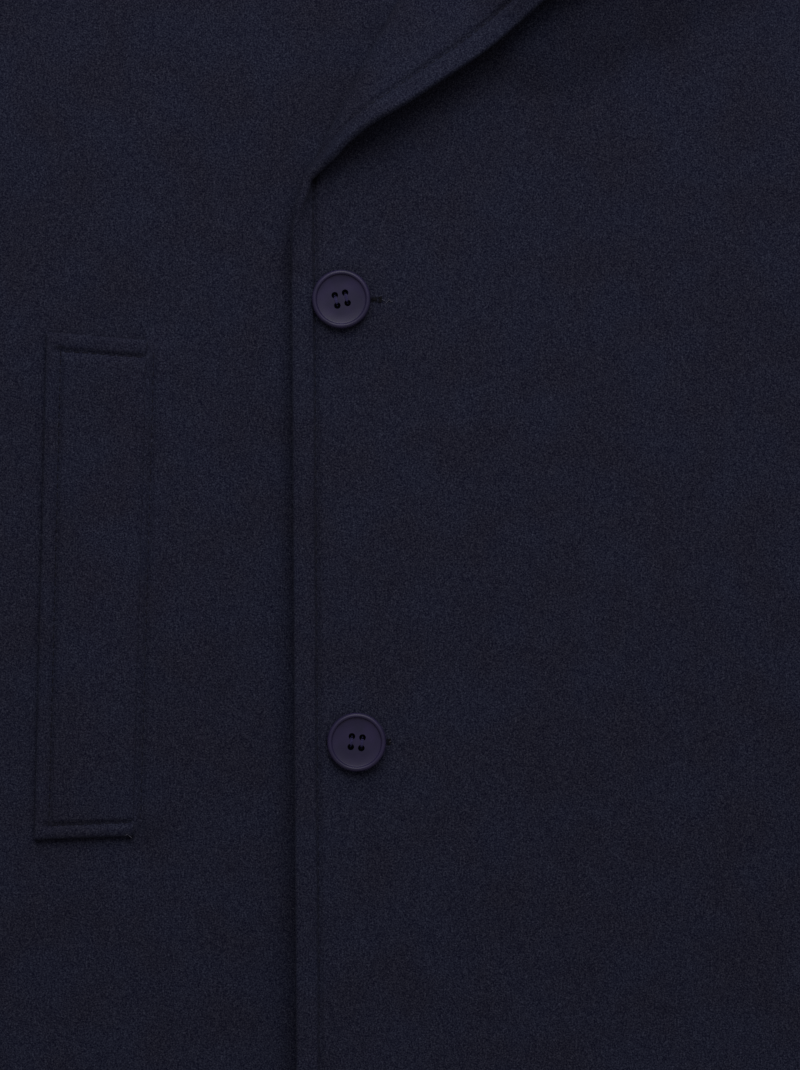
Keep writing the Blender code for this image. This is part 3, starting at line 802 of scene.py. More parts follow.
# Spacing of a front's rows of points: up the skirt, the front edge, the break, the lapel and the neck
SKIRT_TOP_DROP = 640.0
SKIRT_ROWS = 10.0
EDGE_ROWS = 3.5
BREAK_ROWS = 1.1
LAPEL_FOOT_TOP = 100.0
LAPEL_FOOT_ROWS = 2.5
LAPEL_ROWS = 6.0
NECK_ROWS = 6.0
NECK_ROWS_FROM = 3.0
NECK_ROWS_TO = 8.0
NECK_TOP_ROWS = (6, 4.2, 2.6, 1.3, 0.5, 0)
# Drop where the side seam takes over from the armhole
ARMHOLE_FOOT = UNDERARM_DROP + 2.0
# Mid height of a front where a trough in it rests on the back
LOWEST_FRONT = BACK_CLOTH + CLOTH / 2 + 0.1

Row = namedtuple("Row", "start_x start_drop lean flat length curl lift skew radius")


def outer_at(inner_drop):
    """x and drop where a front's section ends: on the side seam, or higher up on the armhole."""
    if inner_drop >= ARMHOLE_FOOT:
        return side_half(inner_drop), inner_drop
    share = (inner_drop - FRONT_TOP_INNER) / (ARMHOLE_FOOT - FRONT_TOP_INNER)
    x, drop = bezier(ARMHOLE, max(0.0, share))
    return x - SEAM_GAP / 2, drop


def roll_radius(along, radius):
    """Radius of the roll, which is tight at the break and opens up along the lapel."""
    return mix(BREAK_RADIUS, radius, smooth(along / BREAK_RADIUS_TO))


def lapel_row(along, radius):
    """A front's section where the lapel turns back on the roll line."""
    skew, length, curl, lift = row_at(LAPEL_SECTIONS, along)
    start_x, start_drop = from_roll(along, radius + CLOTH / 2)
    return Row(start_x, start_drop, ROLL_LEAN, 0.0, length, curl, lift, skew, roll_radius(along, radius))


def break_row(drop, radius, meet):
    """A front's section below the roll's foot, where the edge starts to curl over."""
    inset = radius + CLOTH / 2
    along = (drop - ROLL_BREAK[1] - inset * OUTWARD[1]) / ALONG[1]
    _, _, curl, _ = row_at(LAPEL_SECTIONS, along)
    share = smooth((CURL_TOP_DROP - drop) / (CURL_TOP_DROP - meet.start_drop))
    flat = max(0.0, STRIP_X - max(HINGE_X, from_roll(along, inset)[0]))
    length = mix(STRIP_X - edge_x(drop), meet.length, share)
    tight = roll_radius(along, radius)
    return Row(STRIP_X, drop, ROLL_LEAN * share, min(flat, length), length, curl, 0.0, 0.0, tight)


def front_rows(radius):
    """A front's sections from the hem up to the shoulder."""
    foot = (STRIP_X - from_roll(0, radius + CLOTH / 2)[0]) / ALONG[0]
    meet = lapel_row(foot, radius)
    rows = []
    skirt = steps(HEM_DROP, SKIRT_TOP_DROP, SKIRT_ROWS)
    for drop in skirt + steps(SKIRT_TOP_DROP, CURL_TOP_DROP, EDGE_ROWS)[1:]:
        length = STRIP_X - edge_x(drop)
        rows.append(Row(STRIP_X, drop, 0.0, length, length, 0.0, 0.0, 0.0, radius))
    for drop in steps(CURL_TOP_DROP, meet.start_drop, BREAK_ROWS)[1:-1]:
        rows.append(break_row(drop, radius, meet))
    lapel_foot = steps(foot, LAPEL_FOOT_TOP, LAPEL_FOOT_ROWS)
    for along in lapel_foot + steps(LAPEL_FOOT_TOP, GORGE_ALONG, LAPEL_ROWS)[1:]:
        rows.append(lapel_row(along, radius))
    inset = ROLL_RADIUS + CLOTH / 2 + COLLAR_LEG + SEAM_GAP
    neck = steps(rows[-1].start_drop - NECK_ROWS_FROM, FRONT_TOP_INNER + NECK_ROWS_TO, NECK_ROWS)
    for drop in neck + [FRONT_TOP_INNER + below for below in NECK_TOP_ROWS]:
        along = (drop - ROLL_BREAK[1] - inset * OUTWARD[1]) / ALONG[1]
        rows.append(Row(from_roll(along, inset)[0], drop, 0.0, 0.0, 0.0, 0.0, 0.0, 0.0, radius))
    return rows


def welt_seam_x(drop):
    """x of the seam that a welt is set in, run on past the welt's ends."""
    tall = WELT_SEAM_FOOT.drop - WELT_SEAM_TOP.drop
    return mix(WELT_SEAM_TOP.x, WELT_SEAM_FOOT.x, (drop - WELT_SEAM_TOP.drop) / tall)


def welt_reach(drop):
    """1 beside a welt and 0 past its ends."""
    below_top, above_foot = drop - WELT_SEAM_TOP.drop, WELT_SEAM_FOOT.drop - drop
    shares = [smooth((inside + WELT_REACH_PAST) / WELT_REACH_RUN) for inside in (below_top, above_foot)]
    return shares[0] * shares[1]


def welt_rise(x, drop):
    """How far the pocket's inner layers lift a front up to the welt's seam."""
    past = abs(x) - welt_seam_x(drop)
    if not -WELT_RISE_RUN < past < WELT_RISE_FALL:
        return 0.0
    rise = smooth(1 + past / WELT_RISE_RUN) if past < 0 else smooth(1 - past / WELT_RISE_FALL)
    return WELT_RISE * rise * welt_reach(drop)


def edge_hollow(x, drop):
    """How far the under front sinks beside the over front's edge, wider and deeper towards the hem."""
    share = min(1.0, max(0.0, (drop - HOLLOW_GROWS_FROM) / HOLLOW_GROWS_RUN))
    out = edge_x(drop) - x
    if out > 0:
        near = smooth(1 - out / mix(*HOLLOW_WIDTH, share))
    else:
        near = smooth(1 + (out + HOLLOW_UNDER) / HOLLOW_UNDER_RUN)
    return mix(*HOLLOW_DEPTH, share) * near * ramped(drop, *HOLLOW_RISE)


def spaced(start, end, count, power=1.0):
    """Values from start to just short of end, which close up at the start if the power is above 1."""
    return [mix(start, end, (k / count) ** power) for k in range(count)]


def front_xs(row, outer_x, side):
    """x of the points across a front: runs that close up by its buttons, its welt's seam and its side."""
    seam = welt_seam_x(row.start_drop)
    if side > 0:
        xs = spaced(row.start_x, seam + WELT_COLUMNS[0], OVER_COLUMNS, OVER_CLOSING_UP)
    else:
        xs = spaced(row.start_x, BUTTON_LINE, UNDER_COLUMNS[0])
        xs += spaced(BUTTON_LINE, seam + WELT_COLUMNS[0], UNDER_COLUMNS[1])
    xs += [seam + offset for offset in WELT_COLUMNS]
    xs += spaced(seam + WELT_COLUMNS[-1], outer_x - SIDE_ROLL, SIDE_COLUMNS)[1:]
    for k in range(SIDE_ROUND_COLUMNS + 1):
        xs.append(outer_x - SIDE_ROLL * (1 - math.sin(k * math.pi / (2 * SIDE_ROUND_COLUMNS))))
    return xs


def front_point(row, x, height, side):
    """(point, wall) on the flat of a front."""
    outer_x, outer_drop = outer_at(row.start_drop)
    drop = mix(row.start_drop, outer_drop, (x - row.start_x) / (outer_x - row.start_x))
    level = lying(height, side * x, drop) + welt_rise(x, drop)
    if side < 0:
        level -= edge_hollow(-x, drop)
    level = max(level, LOWEST_FRONT)
    rolled = smooth((outer_drop - UNDERARM_DROP) / SIDE_ROLL_RUN)
    level = mix(level, turned_down(level, outer_x - x, SIDE_ROLL), rolled)
    share = (row.start_drop - FRONT_TOP_INNER) / (UNDERARM_DROP - FRONT_TOP_INNER)
    level = turned_down(level, share, SLEEVE_ROLL_SHARE)
    wall = edge_wall(outer_x - x + EDGE_ROUND * SIDE_EDGE_SHARE * rolled) * edge_wall(HEM_DROP - drop)
    wall *= mix(1.0, stitch_wall(x - welt_seam_x(drop) + WELT_SEAM_STITCH), welt_reach(drop))
    return placed(side * x, drop, level), wall


def strip_point(row, run, height, side, lift_share):
    """(point, angle turned) on the cloth past the start of the roll: flat, round the curl, then back."""
    radius = row.radius
    out = (-math.cos(row.lean), -math.sin(row.lean))
    flat = min(run, row.flat)
    x, drop = row.start_x + flat * out[0], row.start_drop + flat * out[1]
    level = lying(height, side * x, drop)
    if side > 0:
        level += EDGE_PAD_LIFT * edge_pad(row.length - run) * (1 - smooth(row.curl * 2))
    elif row.curl == 0:
        level -= UNDER_EDGE_PRESS * smooth(run / UNDER_EDGE_PRESS_RUN)
    if run <= row.flat:
        return Vector((x, drop, level)), 0.0
    turn = row.curl * math.pi
    angle = min((run - row.flat) / radius, turn)
    past = max(0.0, run - row.flat - radius * turn)
    flap = max(row.length - radius * math.pi, LEAST_FLAP)
    ahead = radius * math.sin(angle) + past * math.cos(turn)
    x, drop = x + ahead * out[0], drop + ahead * out[1]
    slide = row.skew * max(-ahead, 0.0) / flap
    x, drop = x + slide * ALONG[0], drop + slide * ALONG[1]
    level += radius * (1 - math.cos(angle)) + past * math.sin(turn)
    level += row.lift * lift_share * smooth(past / flap)
    level += waved(LAPEL_WAVE, x, drop) * smooth(past / LAPEL_WAVE_RUN)
    if angle > math.pi / 2 and ahead < 0:
        level = max(level, height(side * x, drop) + CLOTH + FOLD_GAP)
    return Vector((x, drop, level)), angle


def strip_runs(row):
    """(run, distance from the edge) at the points of a section past the start of the roll."""
    inner = max(row.length - STITCHED_EDGE[0], STRIP_INNER_SHARE * row.length)
    curl = min(row.flat + row.radius * math.pi, inner / 2)
    runs = [curl * k / STRIP_COLUMNS for k in range(1, STRIP_COLUMNS)]
    runs += spaced(curl, inner, STRIP_COLUMNS) + [inner]
    spread = (row.length - inner) / STITCHED_EDGE[0]
    runs += [row.length - distance * spread for distance in STITCHED_EDGE[1:]]
    return [(run, row.length - run) for run in runs]


def front_sections(side, height, radius, lapel_from, lift_share):
    """Rows of (point, wall) over a front and its lapel."""
    sections = []
    for row in front_rows(radius):
        outer_x, _ = outer_at(row.start_drop)
        section = [front_point(row, x, height, side) for x in reversed(front_xs(row, outer_x, side))]
        along, _ = to_roll(row.start_x, row.start_drop)
        on_edge = row.curl == 0 and row.length > 0
        if row.length == 0 or (along < lapel_from and not on_edge):
            section += [None] * STRIP_COUNT
        else:
            for run, from_edge in strip_runs(row):
                spot, _ = strip_point(row, run, height, side, lift_share)
                wall = stitched_edge_wall(from_edge) * edge_wall(HEM_DROP - spot.y)
                section.append((placed(side * spot.x, spot.y, spot.z), wall))
        sections.append(section)
    return sections


def make_fronts():
    """The over front and the under front, each in one piece with its lapel."""
    over = front_sections(1, over_front_height, ROLL_RADIUS, OVER_LAPEL_START, OVER_LAPEL_LIFT)
    left = cloth("front_left_cloth", over, CLOTH, ("front_left", "lapel_left"))
    under = front_sections(-1, under_front_height, UNDER_ROLL_RADIUS, UNDER_LAPEL_START, UNDER_LAPEL_LIFT)
    right = cloth("front_right_cloth", under, CLOTH, ("front_right", "lapel_right"))
    return left, right


def edge_stitch_paths():
    """Paths of the over front's topstitching: up the front edge, then along the lapel's face."""
    edge, lapel = [], []
    for row in front_rows(ROLL_RADIUS):
        if row.length == 0 or row.start_drop > HEM_DROP - STITCH_FROM_HEM:
            continue
        run = row.length - STITCH_FROM_EDGE
        spot, angle = strip_point(row, run, over_front_height, 1, OVER_LAPEL_LIFT)
        face = 1 if angle < math.pi / 2 else -1
        back = face * EDGE_STITCH_LIE * math.sin(angle)
        x, drop = spot.x + back * math.cos(row.lean), spot.y + back * math.sin(row.lean)
        path = edge if face > 0 else lapel
        path.append(placed(x, drop, spot.z + face * EDGE_STITCH_LIE * math.cos(angle)))
    return [edge, lapel]


# Back

# The back's cloth reaches under the sleeve at the underarm and under the collar's seam at the neck
BACK_NECK_RISE = 3.0
BACK_UNDERARM = (285.8, 267.0)
BACK_SIDE_TOP = UNDERARM_DROP + 12.0
NECK_RISE_FROM = 88.0
NECK_RISE_RUN = 20.0
# Spacing of its rows of points up the side, and counts of them by the armhole and across one half
BACK_ROWS = 18.0
BACK_ARMHOLE_ROWS = 24
BACK_HALF_COLUMNS = 32


def back_top_drop(x):
    """Drop of the back's top edge: the neckline, then the shoulder, which the fronts roll over."""
    slope = SHOULDER_DROP / (SHOULDER_HALF - NECK_HALF)
    shoulder = BACK_INSET + slope * (abs(x) - NECK_HALF)
    return max(shoulder, mix(BACK_NECK_DROP - BACK_NECK_RISE, BACK_INSET / 2, smooth(abs(x) / NECK_HALF)))


def make_back():
    rows = []
    for drop in steps(BACK_HEM_DROP, BACK_SIDE_TOP, BACK_ROWS):
        rows.append((side_half(drop) - BACK_INSET, drop, 0.0))
    rows.append((*BACK_UNDERARM, 0.0))
    for k in range(BACK_ARMHOLE_ROWS + 1):
        up = k / BACK_ARMHOLE_ROWS
        x, drop = bezier(SLEEVE_HEAD, mix(1 - UNDER_SLEEVE_INSET, UNDER_SLEEVE_INSET, up))
        rows.append((x - SEAM_GAP, drop, smooth(up)))
    sections = []
    for outer_x, outer_drop, rise in rows:
        section = []
        short = outer_drop - back_top_drop(outer_x)
        for k in range(-BACK_HALF_COLUMNS, BACK_HALF_COLUMNS + 1):
            x = outer_x * k / BACK_HALF_COLUMNS
            neck = short * smooth((NECK_RISE_FROM - abs(x)) / NECK_RISE_RUN)
            drop = outer_drop + rise * (back_top_drop(x) - back_top_drop(outer_x) - neck)
            section.append((placed(x, drop, BACK_CLOTH / 2), 1.0))
        sections.append(section)
    return cloth("back_cloth", sections, BACK_CLOTH, ("back",))


# Collar

COLLAR_FOLD_REACH = 4.0
COLLAR_FOLD_SPLAY = 0.4
COLLAR_FOLD_BULGE = 2.2
COLLAR_INNER_SHARE = 0.3
FAR_FROM_EDGE = 99.0
# Rows of points between two known sections, by the notch, by the end, and those that are topstitched
COLLAR_ROWS = 9
NOTCH_ROWS = 18
COLLAR_END_ROWS = 6
COLLAR_STITCHED_ROWS = slice(3, 40)
# Columns of points round the fold, down to the notch and on to the stitched edge
FOLD_COLUMNS = 16
FALL_COLUMNS = 8
COLLAR_EDGE_COLUMNS = 5
# Column on the fall that the distance from the collar's end is measured along
COLLAR_END_COLUMN = 20


def collar_front_section(row):
    """Neck seam, fold and outer edge of the collar on the front."""
    along, outer_x, outer_drop, lift = row
    start = ROLL_RADIUS + CLOTH / 2
    seam_x, seam_drop = from_roll(along, start + COLLAR_LEG)
    low_x, low_drop = from_roll(along, start)
    level = under_front_height(low_x, low_drop)
    low = Vector((low_x, low_drop, level))
    high = Vector((low_x, low_drop, level + 2 * ROLL_RADIUS))
    bulge = Vector((-OUTWARD[0], -OUTWARD[1], 0)) * ROLL_RADIUS * 4 / 3
    outer = Vector((outer_x, outer_drop, level + 2 * ROLL_RADIUS + lift))
    return Vector((seam_x, seam_drop, level)), low, high, bulge, outer


def collar_back_section(row):
    """Neck seam, fold and outer edge of the collar behind the neck."""
    seam = Vector((row.seam_x, row.seam_drop, row.seam_height))
    top = Vector((row.roll_x, row.roll_drop, row.roll_height))
    outer = Vector((row.outer_x, row.outer_drop, row.outer_height))
    stand, fall = (top - seam).normalized(), (top - outer).normalized()
    low = top - stand * COLLAR_FOLD_REACH - fall * COLLAR_FOLD_SPLAY
    high = top - fall * COLLAR_FOLD_REACH - stand * COLLAR_FOLD_SPLAY
    return seam, low, high, (stand + fall) * COLLAR_FOLD_BULGE, outer


def collar_half():
    """Rows of (point, distance from the edge) over the collar's left half, from notch to centre back."""
    known = [collar_front_section(row) for row in COLLAR_FRONT_SECTIONS]
    known += [collar_back_section(row) for row in COLLAR_BACK_SECTIONS]
    packed = [tuple(v for point in row for v in point) for row in known]
    filled = through(packed, COLLAR_ROWS)
    rows = [tuple(Vector(row[k:k + 3]) for k in range(0, len(row), 3)) for row in filled]
    start = ROLL_RADIUS + CLOTH / 2
    flap = LAPEL_SECTIONS[-1].length - ROLL_RADIUS * math.pi
    gorge = LAPEL_SECTIONS[-1].skew * NOTCH_SHARE + GORGE_GAP
    gorge_x, gorge_drop = from_roll(GORGE_ALONG + gorge, start + flap * NOTCH_SHARE)
    half = []
    for index, (seam, low, high, bulge, outer) in enumerate(rows):
        notch = Vector((gorge_x, gorge_drop, mix(high.z, outer.z, NOTCH_SHARE)))
        bend = high.lerp(outer, NOTCH_SHARE).lerp(notch, smooth(1 - index / NOTCH_ROWS))
        controls = (tuple(low), tuple(low + bulge), tuple(high + bulge), tuple(high))
        points = [seam] + [Vector(bezier(controls, k / FOLD_COLUMNS)) for k in range(FOLD_COLUMNS + 1)]
        points += [high.lerp(bend, k / FALL_COLUMNS) for k in range(1, FALL_COLUMNS + 1)]
        reach = (outer - bend).length
        inner = max(reach - STITCHED_EDGE[0], COLLAR_INNER_SHARE * reach)
        for k in range(1, COLLAR_EDGE_COLUMNS + 1):
            points.append(bend.lerp(outer, inner * k / COLLAR_EDGE_COLUMNS / reach))
        section = [(point, FAR_FROM_EDGE) for point in points]
        spread = (reach - inner) / STITCHED_EDGE[0]
        section += [(bend.lerp(outer, 1 - d * spread / reach), d * spread) for d in STITCHED_EDGE[1:]]
        half.append(section)
    return half


def make_collar():
    half = collar_half()
    on_fall = [row[COLLAR_END_COLUMN][0] for row in half]
    ends = [(point - on_fall[0]).length for point in on_fall[:COLLAR_END_ROWS]]
    ends += [FAR_FROM_EDGE] * (len(half) - COLLAR_END_ROWS)
    rows = [(1, row, end) for row, end in zip(half, ends)]
    rows += [(-1, row, end) for _, row, end in rows[-2::-1]]
    sections = []
    for mirror, row, end in rows:
        section = []
        for point, from_edge in row:
            wall = stitched_edge_wall(from_edge) * edge_wall(end)
            section.append((placed(mirror * point.x, point.y, point.z), wall))
        sections.append(section)
    return cloth("collar_cloth", sections, CLOTH, ("collar",))


def collar_stitch_paths():
    """Paths of the collar's topstitching on both halves."""
    column = len(STITCHED_EDGE) - STITCHED_EDGE.index(STITCH_FROM_EDGE)
    half = [row[-column][0] for row in collar_half()[COLLAR_STITCHED_ROWS]]
    return [[placed(side * p.x, p.y, p.z + EDGE_STITCH_LIE) for p in half] for side in (1, -1)]


# Sleeves

DOWN_SLEEVE = (math.sin(SLEEVE_SPREAD), math.cos(SLEEVE_SPREAD))
ACROSS_SLEEVE = (-DOWN_SLEEVE[1], DOWN_SLEEVE[0])


def stepped(point, direction, distance):
    return tuple(a + b * distance for a, b in zip(point, direction))


UPPER_OUTER = stepped(SLEEVE_HEAD[3], ACROSS_SLEEVE, -UPPER_SLEEVE_WIDTH)
CUFF_OUTER = stepped(UPPER_OUTER, DOWN_SLEEVE, SLEEVE_LENGTH - math.dist(SLEEVE_HEAD[0], UPPER_OUTER))
CUFF_INNER = stepped(CUFF_OUTER, ACROSS_SLEEVE, CUFF_WIDTH)
# The folds are curves: the outer one bends at the shoulder's end, and both run straight to the cuff
OUTER_BEND = (385.0, 86.0)
OUTER_STRAIGHT = 250.0
INNER_STRAIGHTS = (140.0, 130.0)
SLEEVE_OUTER = (SLEEVE_HEAD[0], OUTER_BEND, stepped(CUFF_OUTER, DOWN_SLEEVE, -OUTER_STRAIGHT), CUFF_OUTER)
SLEEVE_INNER = (
    SLEEVE_HEAD[3],
    stepped(SLEEVE_HEAD[3], DOWN_SLEEVE, INNER_STRAIGHTS[0]),
    stepped(CUFF_INNER, DOWN_SLEEVE, -INNER_STRAIGHTS[1]),
    CUFF_INNER,
)
# Shares of the sleeve's width and length over which its height changes
LOFT_SHARE = 0.3
CREASE_STEEPNESS = 4
HEAD_LOFT_SHARE = 0.2
HEAD_CREASE_SHARE = 0.06
INNER_TURN = (0.55, 0.3)
# Rows and columns of points
SLEEVE_ROUND_COLUMNS = 8
SLEEVE_COLUMNS = 0.026
SLEEVE_ROWS = 0.012
SLEEVE_END_ROWS = (0.0, 0.0015, 0.0035)
SLEEVE_ROWS_FROM = 0.008
UNDER_SLEEVE_END = 0.994
UNDER_SLEEVE_ROWS = 40
UNDER_SLEEVE_COLUMNS = 18


def sleeve_point(along, across):
    """x and drop inside the sleeve's four edges: head, outer fold, inner fold and cuff.

    The inner fold is shorter, so its points lag and the lines across stay square to the sleeve.
    """
    head, outer = bezier(SLEEVE_HEAD, across), bezier(SLEEVE_OUTER, along)
    inner = bezier(SLEEVE_INNER, along**INNER_LAG)
    cuff = [mix(a, b, across) for a, b in zip(CUFF_OUTER, CUFF_INNER)]
    chord = [mix(a, b, across) for a, b in zip(SLEEVE_HEAD[0], SLEEVE_HEAD[3])]
    return tuple(
        mix(outer[k], inner[k], across) + mix(head[k], cuff[k], along) - mix(chord[k], cuff[k], along)
        for k in range(2)
    )


def sleeve_creases(x, drop):
    """Height that the sleeve's folds add at a point."""
    height = 0.0
    for fold in SLEEVE_FOLDS:
        mid_x, mid_drop = sleeve_point(fold.along, fold.across)
        if math.dist((x, drop), (mid_x, mid_drop)) < fold.length:
            height += ridge(x, drop, mid_x, mid_drop, math.radians(fold.turn) - SLEEVE_SPREAD, fold)
    return height


def sleeve_top_spot(side, along, across):
    """(point, wall) on a top sleeve."""
    x, drop = sleeve_point(along, across)
    from_fold = min(across, 1 - across)
    inside = smooth((from_fold - SLEEVE_ROLL_SHARE) / LOFT_SHARE)
    loft = LOFT * smooth((UNDERARM_HALF - SIDE_ROLL - x) / LOFT_RUN)
    crown = mix(loft, SLEEVE_LOFT * inside, smooth(along / HEAD_LOFT_SHARE))
    crease = sleeve_creases(x, drop) + waved(SLEEVE_WAVE, side * x, drop)
    crease *= smooth(inside * CREASE_STEEPNESS)
    height = BACK_CLOTH + LAY_GAP + CLOTH / 2 + crown + crease * smooth(along / HEAD_CREASE_SHARE)
    turned = turned_down(height, from_fold, SLEEVE_ROLL_SHARE)
    inner_share = 1.0 if across < 0.5 else ramped(along, *INNER_TURN)
    wall = edge_wall(along * SLEEVE_LENGTH) * edge_wall((1 - along) * SLEEVE_LENGTH)
    return placed(side * x, drop, mix(height, turned, inner_share)), wall


def make_sleeve_top(side, word):
    turns = [k * math.pi / (2 * SLEEVE_ROUND_COLUMNS) for k in range(SLEEVE_ROUND_COLUMNS)]
    edge = [SLEEVE_ROLL_SHARE * (1 - math.cos(turn)) for turn in turns]
    shares = edge + steps(SLEEVE_ROLL_SHARE, 1 - SLEEVE_ROLL_SHARE, SLEEVE_COLUMNS)
    shares += [1 - share for share in reversed(edge)]
    alongs = [*SLEEVE_END_ROWS] + steps(SLEEVE_ROWS_FROM, 1 - SLEEVE_ROWS_FROM, SLEEVE_ROWS)
    alongs += [1 - along for along in reversed(SLEEVE_END_ROWS)]
    sections = [[sleeve_top_spot(side, along, across) for across in shares] for along in alongs]
    return cloth("sleeve_top_cloth_" + word, sections, CLOTH, ("sleeve_top_" + word,))


def make_sleeve_under(side, word):
    sections = []
    for k in range(UNDER_SLEEVE_ROWS + 1):
        section = []
        for j in range(UNDER_SLEEVE_COLUMNS + 1):
            across = mix(UNDER_SLEEVE_INSET, 1 - UNDER_SLEEVE_INSET, j / UNDER_SLEEVE_COLUMNS)
            x, drop = sleeve_point(UNDER_SLEEVE_END * k / UNDER_SLEEVE_ROWS, across)
            section.append((placed(side * x, drop, UNDER_SLEEVE_CLOTH / 2), 1.0))
        sections.append(section)
    return cloth("sleeve_under_cloth_" + word, sections, UNDER_SLEEVE_CLOTH, ("sleeve_under_" + word,))


# Pocket welts

# Distances from a stitched edge and from the seam that a welt has points at, and spacings between
WELT_EDGE = [0.0, 0.25, 0.6, 1.1, 1.8, 2.8, 3.8, 4.4, 4.9, 5.2, 5.6, 6.0, 6.3, 6.7, 7.2, 8.2, 10.0]
WELT_SEAM_EDGE = [0, 0.3, 0.7, 1.3, 2.0, 3.2, 5.0]
WELT_ROWS = 5.0
WELT_ROWS_FROM = 14.0
WELT_INNER_COLUMNS = 2.5
WELT_INNER_FROM = 8.0
WELT_INNER_TO = 12.0
# How far a stitched groove runs on past the one that it meets
GROOVE_PAST = 1.5
# Where a welt's stitching starts and ends, how far it stands up, and the spacing of its points
WELT_STITCH_START = 1.5
WELT_STITCH_ROWS = 4.0
WELT_FREE_STITCH_ROWS = 6.0
WELT_SEAM_STITCH_ENDS = (4.0, 3.0)
WELT_STITCH_STANDS = 0.05


def welt_place(down, across):
    """x and drop on a welt, down from its top and across from its seam."""
    corners = ((WELT_SEAM_TOP, WELT_FREE_TOP), (WELT_SEAM_FOOT, WELT_FREE_FOOT))
    top, foot = [[mix(a, b, across / WELT_WIDE) for a, b in zip(*pair)] for pair in corners]
    return [mix(a, b, down / WELT_TALL) for a, b in zip(top, foot)]


def welt_spot(side, height, down, across):
    """(point, wall) on a welt."""
    x, drop = welt_place(down, across)
    from_foot, from_free = WELT_TALL - down, WELT_WIDE - across
    wall = edge_wall(down) * edge_wall(from_foot) * edge_wall(from_free) * edge_wall(across)
    if from_free > WELT_FREE_STITCH - GROOVE_PAST:
        wall *= stitch_wall(down - WELT_TOP_STITCH) * stitch_wall(from_foot - WELT_FOOT_STITCH)
    if down > WELT_TOP_STITCH - GROOVE_PAST and from_foot > WELT_FOOT_STITCH - GROOVE_PAST:
        wall *= stitch_wall(from_free - WELT_FREE_STITCH)
    level = lying(height, side * x, drop) + CLOTH / 2 + LAY_GAP + WELT_CLOTH / 2
    return placed(side * x, drop, level + waved(WELT_WAVE, x, drop)), wall


def make_welt(side, word, height):
    downs = WELT_EDGE + steps(WELT_ROWS_FROM, WELT_TALL - WELT_ROWS_FROM, WELT_ROWS)
    downs += [WELT_TALL - distance for distance in reversed(WELT_EDGE)]
    acrosses = WELT_SEAM_EDGE + steps(WELT_INNER_FROM, WELT_WIDE - WELT_INNER_TO, WELT_INNER_COLUMNS)
    acrosses += [WELT_WIDE - distance for distance in reversed(WELT_EDGE)]
    sections = [[welt_spot(side, height, down, across) for across in acrosses] for down in downs]
    return cloth("welt_cloth_" + word, sections, WELT_CLOTH, ("welt_" + word,))


def welt_stitch_paths(side, height):
    """Paths of a welt's stitching: along the top, down the free edge and along the foot, and one
    on the front beside the seam."""

    def on_welt(down, across, rise):
        x, drop = welt_place(down, across)
        return placed(side * x, drop, lying(height, side * x, drop) + welt_rise(x, drop) + rise)

    on_top = CLOTH / 2 + LAY_GAP + WELT_CLOTH * (1 - STITCH_DIP / 2) + WELT_STITCH_STANDS
    in_groove = CLOTH / 2 * (1 - STITCH_DIP)
    free = WELT_WIDE - WELT_FREE_STITCH
    foot = WELT_TALL - WELT_FOOT_STITCH
    seam_from, seam_short = WELT_SEAM_STITCH_ENDS
    line = [on_welt(WELT_TOP_STITCH, a, on_top) for a in steps(WELT_STITCH_START, free, WELT_STITCH_ROWS)]
    line += [on_welt(d, free, on_top) for d in steps(WELT_TOP_STITCH, foot, WELT_FREE_STITCH_ROWS)[1:]]
    line += [on_welt(foot, a, on_top) for a in steps(free, WELT_STITCH_START, WELT_STITCH_ROWS)[1:]]
    downs = steps(seam_from, WELT_TALL - seam_short, WELT_STITCH_ROWS)
    return [line, [on_welt(down, -WELT_SEAM_STITCH, in_groove) for down in downs]]


# Buttons and buttonholes

BUTTON_HOLE_RADIUS = 1.15
BUTTON_HOLE_SPACING = 3.7
BUTTON_SEGMENTS = 96
HOLE_SEGMENTS = 24
MERGE_METRES = 1e-6
SHARP_ANGLE = math.radians(38)
HoleCut = namedtuple("HoleCut", "height depth low high")
HOLE_CUTS = [
    # height of the middle, depth, and the radius below and above as shares: the hole and its countersink
    HoleCut(0.0, 12.0, 1.0, 1.0),
    HoleCut(2.5, 0.7, 0.8, 1.35),
]
# Threads over a button's face, and the strand that goes down each hole
FACE_PLIES = (-0.3, 0.0, 0.3)
FACE_HEIGHT = 2.5
FACE_CROWN = 0.3
FACE_SPLAY = 0.12
FACE_LENGTH = 0.92 * BUTTON_HOLE_SPACING
FACE_THICK = 0.2
DOWN_INSET = 0.98
DOWN_HEIGHT = 0.7
DOWN_LENGTH = 1.2
DOWN_THICK = 0.35
BUTTON_PROFILE = [
    # radius and height from the middle of the face, over the rim and round to the middle below
    (0, 2.3), (5, 2.33), (8.1, 2.38), (8.45, 2.5), (8.62, 2.85), (8.8, 3.22), (9.15, 3.4), (9.6, 3.34),
    (9.98, 3.02), (10.2, 2.5), (10.25, 1.95), (10.02, 1.15), (9.3, 0.5), (7.4, 0), (0, 0),
]


def button_seat(node):
    """Middle of a button's underside, in metres."""
    low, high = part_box(node)
    return Vector(((low[0] + high[0]) / 2, (low[1] + high[1]) / 2, low[2]))


def button_axes(node, turn):
    """Matrix that puts a turned button on its seat."""
    return Matrix.Translation(button_seat(node)) @ Matrix.Rotation(math.radians(turn), 4, "Z")


def hole_places():
    half = BUTTON_HOLE_SPACING / 2
    return [(half, half), (half, -half), (-half, half), (-half, -half)]


